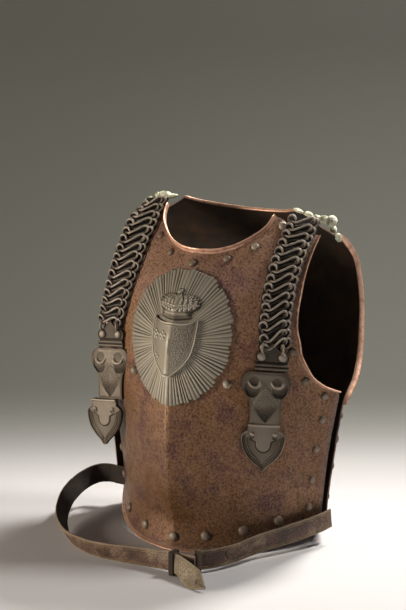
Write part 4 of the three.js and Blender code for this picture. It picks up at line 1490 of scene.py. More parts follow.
    def add_crown(self, parts: MeshParts) -> None:
        """Add the crown: a jewelled band under beaded arches, with an orb on top.

        Args:
            parts: What the crown is added to.
        """
        band = [(x, 308.6 + 0.0028 * x * x) for x in np.linspace(-20, 20, 15)]
        band_top = [(x, 312.8 + 0.0028 * x * x) for x in np.linspace(-20, 20, 15)]
        pearls, leaves = [], []
        for lean in (-1.0, -0.8, -0.58, -0.35, -0.12, 0.12, 0.35, 0.58, 0.8, 1.0):
            foot, crest = (lean * 23.0, 320.0), (lean * 28.4, 326.4 - 1.2 * lean * lean)
            line = np.array([foot, crest, (lean * 21.0, 331.8), (lean * 6.0, 334.2)])
            pearls += [tuple(place) for place in catmull_rom(line, 8)[1:7]]
        for x in np.linspace(-22.5, 22.5, 9):
            rise = 0.0055 * x * x
            leaves += [(x, 317.0 + rise, 2.2), (x - 1.7, 319.4 + rise, 1.4), (x + 1.7, 319.4 + rise, 1.4)]
            leaves.append((x, 321.4 + rise, 1.6))

        def relief(p: Array, q: Array, inset: Array) -> Array:
            """Raise the crown's band, pearls, leaves and orb.

            Args:
                p: Places across.
                q: Places up.
                inset: Distances in from the edge.

            Returns:
                The height at each place.
            """
            base = self.standoff + 3.6 + 2.6 * smoothstep(0.0, 11.0, inset)
            raised = bead(line_distance(p, q, band), 1.3, 0.8)
            raised = np.maximum(raised, bead(line_distance(p, q, band_top), 1.3, 0.8))
            for pearl in pearls:
                raised = np.maximum(raised, dome(reach(p, q, pearl), 1.6, 1.7))
            for x, y, radius in leaves:
                raised = np.maximum(raised, dome(reach(p, q, (x, y)), radius, radius * 0.95))
            raised = np.maximum(raised, dome(reach(p, q, (0.0, 338.4)), 2.6, 2.2))
            return base + raised

        outline = self.fine(self.CROWN, 320)
        casting = Casting(outline, (0.0, 320.0), relief, self.standoff + 1.5, 64, 1.8)
        points, faces, out = casting.shell(self.lay)
        low = self.standoff + 3.6
        parts.add(points, faces, height=np.clip((out - low) / 4.6, 0.0, 1.0))


@dataclass
class EndPlates:
    """The cast plates that finish one strap: chain plate, lobed plate and tip plate.

    Attributes:
        places: Top point, turn about the vertical and lean of each plate.
        slope: How much the level lines of the worn, twisted castings climb to the right.
    """

    side: str
    places: dict[str, tuple[float, float, float, float, float]]
    slope: float = 0.0
    roll: float = 0.0

    CHAIN = (
        (0, 1.5), (1.8, 0.6), (6, -4.0), (11, -8.4), (15.5, -9.6), (20, -11), (22.3, -16),
        (21.2, -21), (19.6, -24.4), (21, -25.4), (21, -33.5), (10, -33.5), (0, -33.5),
    )
    LOBED = (
        (0, 0), (8, 0), (13, -0.4), (20, 0.2), (26.5, -2.6), (30.6, -8.5), (31.6, -15), (30, -23),
        (25.6, -29), (22, -35), (20.4, -42), (19.8, -50), (19.6, -58), (19.8, -67), (19, -68.6),
        (9, -68.8), (0, -68.8),
    )
    TIP = (
        (0, 0), (10, 0), (19.5, 0), (20.4, -3), (20.8, -8), (24.5, -10.8), (28, -15), (28.6, -21),
        (27, -30), (22.5, -40), (14.5, -49), (6, -56), (0, -62),
    )

    def build(self, finishes: Finishes) -> list[Piece]:
        """Build the three plates.

        Args:
            finishes: The finishes to dress them in.

        Returns:
            The plates from the top down.
        """
        shapes = {
            "chain": (self.CHAIN, (0.0, -19.0), self.chain_relief),
            "lobed": (self.LOBED, (0.0, -30.0), self.lobed_relief),
            "tip": (self.TIP, (0.0, -24.0), self.tip_relief),
        }
        made = []
        for kind, (half, centre, relief) in shapes.items():
            outline = catmull_rom(mirrored(half), 300, closed=True)
            parts = MeshParts()
            points, faces, out = Casting(outline, centre, relief, 0.0, 56, 1.0).shell(self.lay(kind))
            parts.add(points, faces, height=np.clip((out - 1.4) / 5.2, 0.0, 1.0))
            if kind == "chain":
                self.add_loops(parts)
            made.append(parts.make(f"{kind}_plate_{self.side}_cast", [finishes.end_plate]))
        return made

    def lay(self, kind: str) -> Callable[[Array, Array, Array], Array]:
        """Give the placing of one plate.

        Args:
            kind: chain, lobed or tip.

        Returns:
            A function that turns across, up and out into points.
        """
        x, y, z, yaw, lean = self.places[kind]
        turn = Matrix.Rotation(math.radians(yaw), 3, "Z") @ Matrix.Rotation(math.radians(lean), 3, "X")
        roll = Matrix.Rotation(math.radians(self.roll), 3, "Y")
        axes = np.array(turn @ roll)

        def place(p: Array, q: Array, out: Array) -> Array:
            """Lay places of the plate's drawing in the plates' own millimetres."""
            return np.stack([p, -out, q + self.slope * p], axis=1) @ axes.T + np.array([x, y, z])

        return place

    def add_loops(self, parts: MeshParts) -> None:
        """Add the two small loops on the chain plate's shoulders, which the links hook into.

        Args:
            parts: What the loops are added to.
        """
        angle = np.linspace(0, math.tau, 26, endpoint=False)
        for side in (-1, 1):
            p = np.full(26, side * 12.5) + 1.2 * side * np.cos(angle)
            path = self.lay("chain")(p, -5.0 + 5.6 * np.sin(angle), 3.6 + 3.2 * np.cos(angle))
            _, up, across = path_frames(path, np.broadcast_to([1.0, 0.0, 0.0], path.shape), closed=True)
            parts.add(*swept(path, (up, across), round_section(1.5, 10), closed=True), height=0.7)

    @staticmethod
    def chain_relief(p: Array, q: Array, inset: Array) -> Array:
        """Give the chain plate's relief: two round rivets, a border and two mouldings.

        Args:
            p: Places across.
            q: Places up.
            inset: Distances in from the edge.

        Returns:
            The height at each place.
        """
        height = 3.0 + bead(np.abs(inset - 1.0), 1.0, 0.5) * (q > -22)
        for side in (-1, 1):
            near = reach(p, q, (side * 13.6, -15.8))
            height -= 0.6 * bead(np.abs(near - 6.6), 1.0, 1.0)
            height = np.maximum(height, 2.7 + dome(near, 5.7, 3.7))
        height -= 1.3 * bead(np.abs(q + 22.6), 1.2, 1.0)
        height = height + bead(np.abs(q + 26.2), 1.6, 1.3) + bead(np.abs(q + 30.8), 1.7, 1.4)
        height -= 0.9 * bead(np.abs(q + 28.5), 0.7, 1.0) + 0.9 * bead(np.abs(q + 33.2), 0.8, 1.0)
        return height

    @staticmethod
    def lobed_relief(p: Array, q: Array, inset: Array) -> Array:
        """Give the lobed plate's relief: two dished bosses with bright lower lips over a hatched leaf.

        Args:
            p: Places across.
            q: Places up.
            inset: Distances in from the edge.

        Returns:
            The height at each place.
        """
        height = 2.9 + 0.9 * smoothstep(0.0, 5.0, inset) + bead(np.abs(inset - 0.9), 0.9, 0.4)
        height += 1.0 * (1.0 - np.clip(np.abs(p) / 30.0, 0, 1) ** 2)
        for side in (-1, 1):
            dish = reach(p, q, (side * 14.6, -12.5))
            below = smoothstep(2.0, -5.0, q + 12.5)
            drop = np.hypot((p - side * 17.5) / 10.8, (q + 21.5) / 12.6)
            away = smoothstep(1.0, 0.86, drop) * smoothstep(8.8, 10.0, dish) * smoothstep(-13.0, -18.0, q)
            hatch = np.sin((side * p * 0.9 - q) * math.tau / 3.0)
            height = height - (0.3 + 1.7 * smoothstep(9.0, 19.0, dish) - 0.4 * hatch) * away
            height = height - dome(dish, 7.0, 0.9)
            height = height + bead(np.abs(dish - 7.4), 2.2, 2.5) * below
        leaf_way = [17.5, 22, 28, 34, 40, 49, 58, 66]
        width = np.interp(-q, leaf_way, [0, 3.4, 8.0, 13.4, 16.6, 13.6, 7.6, 0])
        depth = np.clip((width - np.abs(p)) / 1.6, 0.0, 1.0) * ((q < -17.5) & (q > -66))
        hatch = np.sin((q + 0.75 * np.abs(p)) * math.tau / 3.2)
        lower = smoothstep(-38.0, -58.0, q)
        height = height + depth * (0.55 - 2.4 * lower + 0.55 * hatch)
        return height - 0.4 * bead(np.abs(width - np.abs(p) + 0.7), 0.7, 1.0) * ((q < -20) & (q > -64))

    @staticmethod
    def tip_relief(p: Array, q: Array, inset: Array) -> Array:
        """Give the tip plate's relief: a reeded border, a smooth field, two pins and a deep curve.

        Args:
            p: Places across.
            q: Places up.
            inset: Distances in from the edge.

        Returns:
            The height at each place.
        """
        dip = arc((0, -27.0), 9.5, 172, 368, 24)
        field_edge = line_distance(p, q, [(-17, -19.5), (-10, -23), *dip, (10, -23), (17, -19.5)])
        in_field = (q > -19.5 - 0.5 * (17 - np.abs(p))) | (np.hypot(p, q + 27.0) < 9.5)
        height = 3.0 + 1.3 * (1.0 - np.clip(np.abs(p) / 29.0, 0, 1) ** 2) + np.where(in_field, 0.8, 0.0)
        reeds = np.sin(inset * math.tau / 3.1 + 0.6)
        height = height + np.where(~in_field & (inset < 8.6), 0.55 * reeds, 0.0)
        height += bead(np.abs(inset - 1.0), 1.1, 0.9) * (q < -9)
        height = height - 0.9 * bead(field_edge, 1.0, 1.0)
        height = height + bead(np.abs(q + 1.4), 1.8, 2.0)
        for side in (-1, 1):
            hollow = reach(p, q, (side * 14.6, -16.2))
            height -= 1.2 * smoothstep(4.0, 2.2, hollow)
            height = height + dome(reach(p, q, (side * 14.6, -13.6)), 3.0, 2.6)
        return height


END_PLATES = (
    EndPlates(
        "right",
        {
            "chain": (115.5, -76, 280, 38, -3),
            "lobed": (109.0, -79, 245, 38, -2),
            "tip": (107, -82.5, 177.5, 40, 1),
        },
        slope=-0.07,
        roll=2.0,
    ),
    EndPlates(
        "left",
        {
            "chain": (-119.5, -80, 281, -10, 0),
            "lobed": (-119.5, -82, 247, -8, 0),
            "tip": (-125.5, -86, 178.5, -8, 0),
        },
        slope=0.11,
        roll=-1.0,
    ),
)


# ----- Chains, fittings and rivets -----


@dataclass(frozen=True)
class Link:
    """The course of one kind of bent link, in the strap's own plane.

    Attributes:
        course: Points round the link: across to the viewer's right, up the strap, and out from it.
    """

    course: tuple[tuple[float, float, float], ...]
    wire: float


LONG_LINK = Link(
    (
        (-14.0, -7.0, 3.0), (-9.6, -8.0, 5.0), (-5.0, -5.6, 6.0), (0.0, -1.6, 6.4), (4.8, 2.8, 6.6),
        (9.0, 5.4, 6.4), (12.8, 4.4, 5.4), (13.8, 1.0, 4.0), (11.4, -1.6, 2.6), (6.6, -3.2, 1.8),
        (0.0, -6.6, 1.6), (-6.0, -11.0, 1.7), (-11.6, -12.0, 1.8), (-15.0, -9.8, 2.2),
    ),
    1.5,
)
LEFT_LINK = Link(
    (
        (-18.8, -6.0, 2.4), (-18.8, -2.4, 3.8), (-16.2, -0.2, 5.2), (-12.6, -0.6, 5.4),
        (-9.8, -3.2, 4.0), (-9.4, -6.0, 2.0), (-11.6, -8.4, 0.9), (-15.6, -8.6, 1.1),
    ),
    1.5,
)
RIGHT_LINK = Link(
    (
        (19.0, 0.0, 3.0), (18.4, 3.6, 4.4), (15.4, 5.2, 5.0), (12.2, 3.2, 3.6), (10.2, -0.4, 2.0),
        (9.6, -4.4, 1.4), (11.2, -7.2, 2.0), (14.4, -7.2, 3.2), (17.4, -4.2, 3.6),
    ),
    1.5,
)


@dataclass
class ChainStrap:
    """One shoulder strap: rows of interlaced links, with rings at its lower end.

    Attributes:
        side: right or left.
        route: X, height and gap to the plate of the strap's back, from the shoulder down.
        width: How wide the links lie, as a share of their drawn width.
        pitch: Distance between rows.
        turn: Degrees that its outer edge stands off the plate.
        backing: How far the leather under the links reaches to each side.
    """

    side: str
    route: Sequence[tuple[float, float, float]]
    width: float = 1.0
    pitch: float = 11.8
    turn: float = 0.0
    backing: tuple[float, float] = (-20.5, 19.5)

    def build(self, finishes: Finishes) -> Piece:
        """Build the strap.

        Args:
            finishes: The finishes to dress it in.

        Returns:
            The links, and the leather under them, as one piece.
        """
        parts = MeshParts()
        x, z, gap = np.array(self.route, float).T
        path = catmull_rom(BREAST_SKIN.at(x, z, gap), 200)
        travelled = travel(path)
        skin = BREAST_SKIN.normal(BREAST_SKIN.across_at(path[:, 0], path[:, 2]), path[:, 2])
        tangent, out, _ = path_frames(path, skin)
        right = np.cross(out, tangent)
        right *= np.where(right[:, :1] < 0, -1.0, 1.0)
        angle = math.radians(self.turn) * smoothstep(0.0, 40.0, travelled)[:, None]
        path = path + 19.0 * np.sin(angle) * out
        cos, sin = np.cos(angle), np.sin(angle)
        right, out = right * cos - out * sin, out * cos + right * sin
        spread = np.random.default_rng(11 if self.side == "right" else 12)

        def lay(place: Array) -> Array:
            """Lay places of the strap's plane along the strap, straight on past its ends.

            Args:
                place: Across, down the strap and out from it, one place per row.

            Returns:
                One point per row.
            """
            way = np.clip(place[:, 1], 0.0, travelled[-1])
            at, side, face, ahead = (read_at(way, travelled, a) for a in (path, right, out, tangent))
            beyond = (place[:, 1] - way)[:, None]
            return at + place[:, 0:1] * side + place[:, 2:3] * face + beyond * ahead

        rows = int((travelled[-1] + 2.0) // self.pitch)
        for row in range(rows + 1):
            for link in (LONG_LINK, LEFT_LINK, RIGHT_LINK):
                place = np.array(link.course, float)
                place[:, 0] *= self.width
                lean = math.radians(spread.normal(0.0, 2.4))
                cos, sin = math.cos(lean), math.sin(lean)
                x_old, y_old = place[:, 0].copy(), place[:, 1].copy()
                place[:, 0] = x_old * cos - y_old * sin + spread.normal(0.0, 0.35)
                place[:, 1] = row * self.pitch + 3.0 - (x_old * sin + y_old * cos) + spread.normal(0.0, 0.3)
                place[:, 2] += 0.9 + spread.normal(0.0, 0.12)
                self.add_wire(parts, lay(catmull_rom(place, 56, closed=True)), place, link.wire, lay)
        self.add_backing(parts, travelled[-1], lay)
        return parts.make(f"shoulder_chain_{self.side}_links", [finishes.chain, finishes.strap_leather])

    def add_backing(self, parts: MeshParts, length: float, lay: Callable[[Array], Array]) -> None:
        """Add the strip of blackened leather that the links are laid on.

        Args:
            parts: What the strip is added to.
            length: How long the strap is.
            lay: Turns places in the strap's plane into points.
        """
        ways = np.linspace(-4.0, length + 8.0, 96)
        wide = 14
        ring = np.arange(2 * wide)
        share = np.concatenate([np.linspace(0, 1, wide), np.linspace(1, 0, wide)])
        depth = np.where(ring < wide, 0.9, -0.6)
        depth[[0, wide - 1, wide, 2 * wide - 1]] *= 0.3
        low, high = self.backing
        rows = []
        for way in ways:
            edge = 0.5 * math.sin(way * 0.21) + 0.3 * math.sin(way * 0.53 + 1.0)
            across = (low + edge) + share * (high - low - edge * 0.5)
            rows.append(lay(np.stack([across, np.full(2 * wide, way), depth], axis=1)))
        points = np.vstack([*rows, rows[0].mean(0, keepdims=True), rows[-1].mean(0, keepdims=True)])
        hub = len(ways) * 2 * wide
        caps = [fan(ring, hub, flip=True), fan(hub - 2 * wide + ring, hub + 1)]
        faces = grid_faces(len(ways), 2 * wide, wrap_columns=True)
        parts.add(points, np.vstack([faces, *caps]), 1, edge=0.1, height=0.1)

    @staticmethod
    def add_wire(
        parts: MeshParts, path: Array, place: Array, wire: float, lay: Callable[[Array], Array]
    ) -> None:
        """Sweep one closed link.

        Args:
            parts: What the link is added to.
            path: Points round the link.
            place: The link's course in the strap's plane.
            wire: Radius of the wire.
            lay: Turns a place in the strap's plane into a point.
        """
        middle = place.mean(0)
        out = unit(lay((middle + [0, 0, 1.0])[None, :]) - lay(middle[None, :]))[0]
        _, up, side = path_frames(path, np.broadcast_to(out, path.shape), closed=True)
        height = (path - path.mean(0)) @ out
        sides = 10
        points, faces = swept(path, (up, side), round_section(wire, sides), closed=True)
        ring = np.cos(np.linspace(0, math.tau, sides, endpoint=False))
        # Painted light, partly real rubbing: each wire is lighter on its outer side and at the link's
        # crest, and darker, as painted shade, where it faces the strap.
        value = 0.45 + 0.16 * height[:, None] + 0.22 * ring[None, :]
        parts.add(points, faces, height=np.clip(value.ravel(), 0.0, 1.0))


@dataclass
class Rivets:
    """A run of domed rivets on one plate; bloom is how much pale crust each has, from 0 to 1."""

    name: str
    skin: PlateSkin
    places: Sequence[tuple[float, float]]
    nodes: Sequence[str]
    radius: float = 4.9
    height: float = 3.4
    bloom: Sequence[float] = ()

    AROUND = 28
    PROFILE = (
        (0.0, -0.4), (0.98, -0.4), (1.0, 0.06), (0.97, 0.2), (0.88, 0.48), (0.7, 0.76), (0.45, 0.93),
        (0.2, 0.99),
    )
    SHADE = (0.1, 0.1, 0.15, 0.3, 0.45, 0.6, 0.7, 0.75, 0.8)

    def build(self, finishes: Finishes) -> Piece:
        """Build the run, each rivet a little worn in its own way.

        Args:
            finishes: The finishes to dress it in.

        Returns:
            The run as one piece.
        """
        parts = MeshParts()
        spread = np.random.default_rng(len(self.name) + len(self.places))
        ring = np.arange(self.AROUND)
        angle = np.linspace(0, math.tau, self.AROUND, endpoint=False)
        for index, (x, z) in enumerate(self.places):
            across = self.skin.across_at(x, z)
            foot = self.skin.point(across, z)
            out = self.skin.normal(across, z)
            first = unit(np.cross([0.0, 0.0, 1.0], out))
            second = np.cross(out, first)
            radius = self.radius * spread.uniform(0.93, 1.06)
            tall = self.height * spread.uniform(0.88, 1.08)
            tilt = spread.normal(0.0, 0.05, 2)
            wobble = 1.0 + 0.025 * np.sin(angle * 2 + spread.uniform(0, 6)) + 0.02 * np.sin(angle * 5)
            circle = np.cos(angle)[:, None] * first + np.sin(angle)[:, None] * second
            rows = []
            for r, h in self.PROFILE:
                plan = radius * r * wobble[:, None] * circle
                lift = tall * h + plan @ first * tilt[0] + plan @ second * tilt[1]
                rows.append(foot + plan + lift[:, None] * out)
            rows.append(foot + tall * out + 0.01 * (rows[-1] - foot))
            hub = len(rows) * self.AROUND
            points = np.vstack([*rows, foot + 1.005 * tall * out])
            faces = grid_faces(len(rows), self.AROUND, wrap_columns=True)
            cap = fan(hub - self.AROUND + ring, hub)
            shade = np.repeat(self.SHADE, self.AROUND)
            crust = self.bloom[index] if index < len(self.bloom) else 0.15
            parts.add(points, np.vstack([faces, cap]), height=np.append(shade, 0.8), bloom=crust)
        return parts.make(self.name, [finishes.rivet])


@dataclass
class Lump:
    """One swelling of a crusted casting: its middle, its three half sizes and its turn in degrees."""

    middle: tuple[float, float, float]
    half: tuple[float, float, float]
    turn: float = 0.0


@dataclass
class ShoulderFitting:
    """The crusted casting on one shoulder, which the chain hangs from; grain roughens its crust."""

    side: str
    lumps: Sequence[Lump]
    grain: float = 0.6

    AROUND = 20
    RINGS = 10

    def build(self, finishes: Finishes) -> Piece:
        """Build the casting: swellings joined into one skin, then roughened.

        Args:
            finishes: The finishes to dress it in.

        Returns:
            The casting.
        """
        name = f"shoulder_fitting_{self.side}_cast"
        parts = MeshParts()
        u = np.linspace(0, math.tau, self.AROUND, endpoint=False)
        v = np.linspace(-math.pi / 2, math.pi / 2, self.RINGS + 2)[1:-1]
        level = np.stack([np.outer(np.cos(v), np.cos(u)), np.outer(np.cos(v), np.sin(u))], axis=-1)
        rise = np.broadcast_to(np.sin(v)[:, None, None], (self.RINGS, self.AROUND, 1))
        net = np.concatenate([level, rise], axis=-1).reshape(-1, 3)
        ring, hub = np.arange(self.AROUND), len(net)
        cells = grid_faces(self.RINGS, self.AROUND, wrap_columns=True)
        faces = np.vstack([cells, fan(ring, hub, flip=True), fan(hub - self.AROUND + ring, hub + 1)])
        for lump in self.lumps:
            ball = np.vstack([net, [0, 0, -1], [0, 0, 1]]) * np.array(lump.half)
            turn = np.array(Matrix.Rotation(math.radians(lump.turn), 3, "Y"))
            parts.add(ball @ turn.T + np.array(lump.middle), faces)
        made = parts.make(name, [finishes.verdigris])
        bpy.context.view_layer.objects.active = made
        joined = made.modifiers.new("joined", "REMESH")
        joined.mode = "VOXEL"
        joined.voxel_size = 0.8 * MM
        joined.use_smooth_shade = True
        eased = made.modifiers.new("eased", "SMOOTH")
        eased.iterations = 4
        done = bpy.data.meshes.new_from_object(made.evaluated_get(bpy.context.evaluated_depsgraph_get()))
        made.modifiers.clear()
        made.data = done
        places = np.array([v.co for v in done.vertices]) / MM
        normals = np.array([v.normal for v in done.vertices])
        rough = rolling_noise(places, 4.5, 2.0) + 0.6 * rolling_noise(places, 2.0, 6.0)
        done.vertices.foreach_set("co", ((places + self.grain * rough[:, None] * normals) * MM).ravel())
        done.update()
        return made


# ----- The waist belt -----


@dataclass(frozen=True)
class BeltStop:
    """One place on a belt's route: its middle, its lean from upright in degrees, and its half width."""

    x: float
    y: float
    z: float
    lean: float
    half: float = 12.8


LEFT_BELT = tuple(
    BeltStop(*row)
    for row in (
        (-148, -4, 45, 0), (-160, -4, 45.5, 0), (-175, -4, 46, 2), (-190, -12, 44, 8),
        (-198, -39, 38, 18), (-197, -71, 29, 28), (-184, -105, 21, 34), (-161, -140, 15.5, 36),
        (-127, -174, 13, 30), (-88, -193, 13, 24), (-52, -198, 14, 18), (-18, -197, 15.5, 12),
        (15, -197, 17, 6), (46, -199, 19, 2), (76, -201, 19, 0),
    )
)
RIGHT_BELT = tuple(
    BeltStop(*row)
    for row in (
        (161, 3, 36.5, 0), (156, -14, 34.5, 0), (145, -36, 31, 0), (129, -64, 27, 0),
        (110, -100, 23.5, 2), (98, -136, 21, 4), (85, -164, 20, 2), (67, -186.5, 19.5, 0),
    )
)
TIP_BELT = tuple(
    BeltStop(*row)
    for row in (
        (42, -204.4, 19, 0, 12.6), (54, -206.5, 19, -4, 12.8), (66, -213, 17.5, -14, 13.2),
        (79, -221, 15, -24, 13.4), (90, -227.5, 12.7, -32, 13.4), (97, -231, 11.2, -35, 10.0),
        (104, -234.2, 9.6, -37, 5.6), (111, -237, 8.2, -38, 1.2),
    )
)


@dataclass
class Belt:
    """One run of the belt.

    Attributes:
        outward: Which way its lean goes, 1 or -1.
        stitch_rows: How far in from each edge the rows of stitches run.
        stitch: Length of a stitch and the distance from one to the next.
        crack: Share of the run at which the leather has split, if it has.
        hole: Share of the run at which a hole is punched, if one is.
        reach_length: Its whole length, found when it is built.
    """

    name: str
    route: Sequence[BeltStop]
    outward: int
    thickness: float = 3.0
    stitch_rows: Sequence[float] = (1.9, 4.1)
    stitch: tuple[float, float] = (2.3, 3.0)
    seed: float = 1.0
    crack: float | None = None
    hole: float | None = None
    steps: int = 220
    reach_length: float = field(default=0.0, init=False)

    WIDE = 25

    def frames(self) -> tuple[Array, Array, Array, Array]:
        """Lay out the run.

        Returns:
            Its middle line, its face direction, its upward direction and its half width.
        """
        stops = np.array([(s.x, s.y, s.z, s.lean, s.half) for s in self.route], float)
        run = catmull_rom(stops[:, :3], self.steps)
        fine = catmull_rom(stops, self.steps)
        lean, half = np.radians(fine[:, 3]), np.maximum(fine[:, 4], 1.0)
        tangent = unit(np.gradient(run, axis=0))
        side = unit(np.cross(tangent, [0.0, 0.0, 1.0])) * self.outward
        rise = unit(np.cross(side, tangent))
        rise *= np.where(rise[:, 2:] < 0, -1.0, 1.0)
        up = unit(rise * np.cos(lean)[:, None] + side * np.sin(lean)[:, None])
        face = np.cross(tangent, up)
        ripple = 0.7 * rolling_noise(run, 34.0, self.seed)
        return run + ripple[:, None] * face, face, up, half

    def build(self, finishes: Finishes, face: Material) -> list[Piece]:
        """Build the strap and its stitches.

        Args:
            finishes: The finishes to dress it in.
            face: The leather of its grain side.

        Returns:
            The strap and its stitches.
        """
        run, out, up, half = self.frames()
        self.reach_length = float(np.linalg.norm(np.diff(run, axis=0), axis=1).sum())
        t = self.thickness / 2
        rim = half * (1.0 + 0.02 * rolling_noise(run, 15.0, self.seed + 4))
        share = np.concatenate([np.linspace(-1, 1, self.WIDE), np.linspace(1, -1, self.WIDE)])
        sign = np.repeat([1.0, -1.0], self.WIDE)
        outer_side = float(self.outward)
        inset = (1.0 - np.abs(share))[None, :] * rim[:, None]
        round_off = np.sqrt(np.clip(1.0 - (1.0 - np.minimum(inset / 1.3, 1.0)) ** 2, 0.0, 1.0))
        groove = sum(0.28 * np.exp(-(((inset - row) / 0.7) ** 2)) for row in self.stitch_rows)
        bow = 0.5 * (1.0 - share[None, :] ** 2)
        depth = sign[None, :] * t * (0.35 + 0.65 * round_off) - sign[None, :] * groove + bow
        depth = depth - self.damage(share[None, :] * rim[:, None], len(run)) * (sign == outer_side)
        section = np.stack([depth, share[None, :] * rim[:, None]], axis=2)
        points, faces = swept(run, (out, up), section)
        dents = 0.22 * rolling_noise(points, 7.0, self.seed + 9)
        outs = np.vstack([np.repeat(out, 2 * self.WIDE, axis=0), out[:1], out[-1:]])
        points = points + dents[:, None] * outs
        edge = np.append(1.0 - smoothstep(0.2, 2.2, inset.ravel()), [0.5, 0.5])
        slots = np.zeros(len(faces), int)
        cells = (len(run) - 1) * 2 * self.WIDE
        slots[:cells] = np.tile((sign != outer_side).astype(int), len(run) - 1)
        parts = MeshParts()
        parts.add(points, faces, slots, edge=edge)
        strap = parts.make(f"{self.name}_strap", [face, finishes.belt_flesh])
        return [strap, self.stitches(finishes, run, out, up, rim)]

    def damage(self, across: Array, count: int) -> Array:
        """Sink the crack and the punched hole.

        Args:
            across: How far each point of the section net is from the middle line.
            count: How many sections the net has.

        Returns:
            How deep each point lies.
        """
        travelled = np.linspace(0.0, 1.0, count)[:, None] * self.reach_length
        deep = np.zeros_like(across)
        if self.crack is not None:
            line = self.crack * self.reach_length + 1.6 * np.sin(across * 0.55) + 0.8 * np.sin(across * 1.7)
            deep = 1.3 * np.exp(-(((travelled - line) / 1.3) ** 2)) * (across > -6.0)
        if self.hole is not None:
            gap = np.hypot(travelled - self.hole * self.reach_length, across - 1.0)
            deep = np.maximum(deep, 1.6 * smoothstep(2.9, 1.9, gap))
        return deep * self.outward

    def stitches(self, finishes: Finishes, run: Array, out: Array, up: Array, half: Array) -> Piece:
        """Sew the rows of stitches along both edges of the grain side.

        Args:
            finishes: The finishes to dress them in.
            run: The belt's middle line.
            out: Its face direction at each point.
            up: Its upward direction at each point.
            half: Its half width at each point.

        Returns:
            The stitches as one piece.
        """
        length, step = self.stitch
        travelled = travel(run)
        ways = np.arange(2.0, travelled[-1] - length, step)
        spread = np.random.default_rng(int(self.seed * 10))
        parts = MeshParts()
        curve = np.linspace(0.0, 1.0, 6)
        thread = round_section(0.36, 7) * np.array([0.5, 0.9, 1.0, 1.0, 0.9, 0.5])[:, None, None]
        for row in self.stitch_rows:
            for edge in (-1, 1):
                for way in ways:
                    if spread.random() < 0.05:
                        continue
                    at = way + curve * length
                    middle, face, rise = (read_at(at, travelled, a) for a in (run, out, up))
                    wide = np.interp(at, travelled, half)
                    if wide.min() < row + 1.0:
                        continue
                    across = edge * (wide - row)
                    bow = 0.5 * (1.0 - (across / wide) ** 2)
                    arch = np.sin(curve * math.pi) * 0.4 - 0.05
                    lift = self.outward * (self.thickness / 2 - 0.3 + arch) + bow
                    path = middle + lift[:, None] * face + across[:, None] * rise
                    _, first, second = path_frames(path, face)
                    parts.add(*swept(path, (first, second), thread))
        return parts.make(f"{self.name}_stitches", [finishes.thread])


@dataclass
class BeltLoop:
    """A loop of strip round the belt, turned about the vertical; inside and tall are its opening."""

    name: str
    middle: tuple[float, float, float]
    turn: float
    inside: float
    wall: float
    length: float
    tall: float = 27.0

    def build(self, material: Material, corner: float = 1.6) -> Piece:
        """Build the loop.

        Args:
            material: Its finish.
            corner: Radius of its corners.

        Returns:
            The loop.
        """
        half_d, half_h = (self.inside + self.wall) / 2, (self.tall + self.wall) / 2
        corners = []
        for sx, sz, start in ((1, 1, 0), (-1, 1, 90), (-1, -1, 180), (1, -1, 270)):
            centre = (sx * (half_d - corner), sz * (half_h - corner))
            corners += arc(centre, corner, start, start + 90, 6)
        plan = catmull_rom(np.array(corners), 96, closed=True)
        path = np.stack([np.zeros(len(plan)), plan[:, 0], plan[:, 1]], axis=1)
        sway = 0.25 * rolling_noise(path + np.array(self.middle), 9.0, 4.0)
        path[:, 0] += sway
        tangent = unit(np.roll(path, -1, axis=0) - np.roll(path, 1, axis=0))
        along = np.broadcast_to([1.0, 0.0, 0.0], path.shape)
        across = unit(np.cross(tangent, along))
        angle = np.linspace(0, math.tau, 16, endpoint=False)
        cos, sin = np.cos(angle), np.sin(angle)
        section = np.stack(
            [
                self.length / 2 * np.sign(cos) * np.abs(cos) ** 0.45,
                self.wall / 2 * np.sign(sin) * np.abs(sin) ** 0.6,
            ],
            axis=1,
        )
        points, faces = swept(path, (along, across), section, closed=True)
        turn = np.array(Matrix.Rotation(math.radians(self.turn), 3, "Z"))
        parts = MeshParts()
        parts.add(points @ turn.T + np.array(self.middle), faces, edge=0.3, height=0.5)
        return parts.make(f"{self.name}_loop", [material])


# ----- The set -----


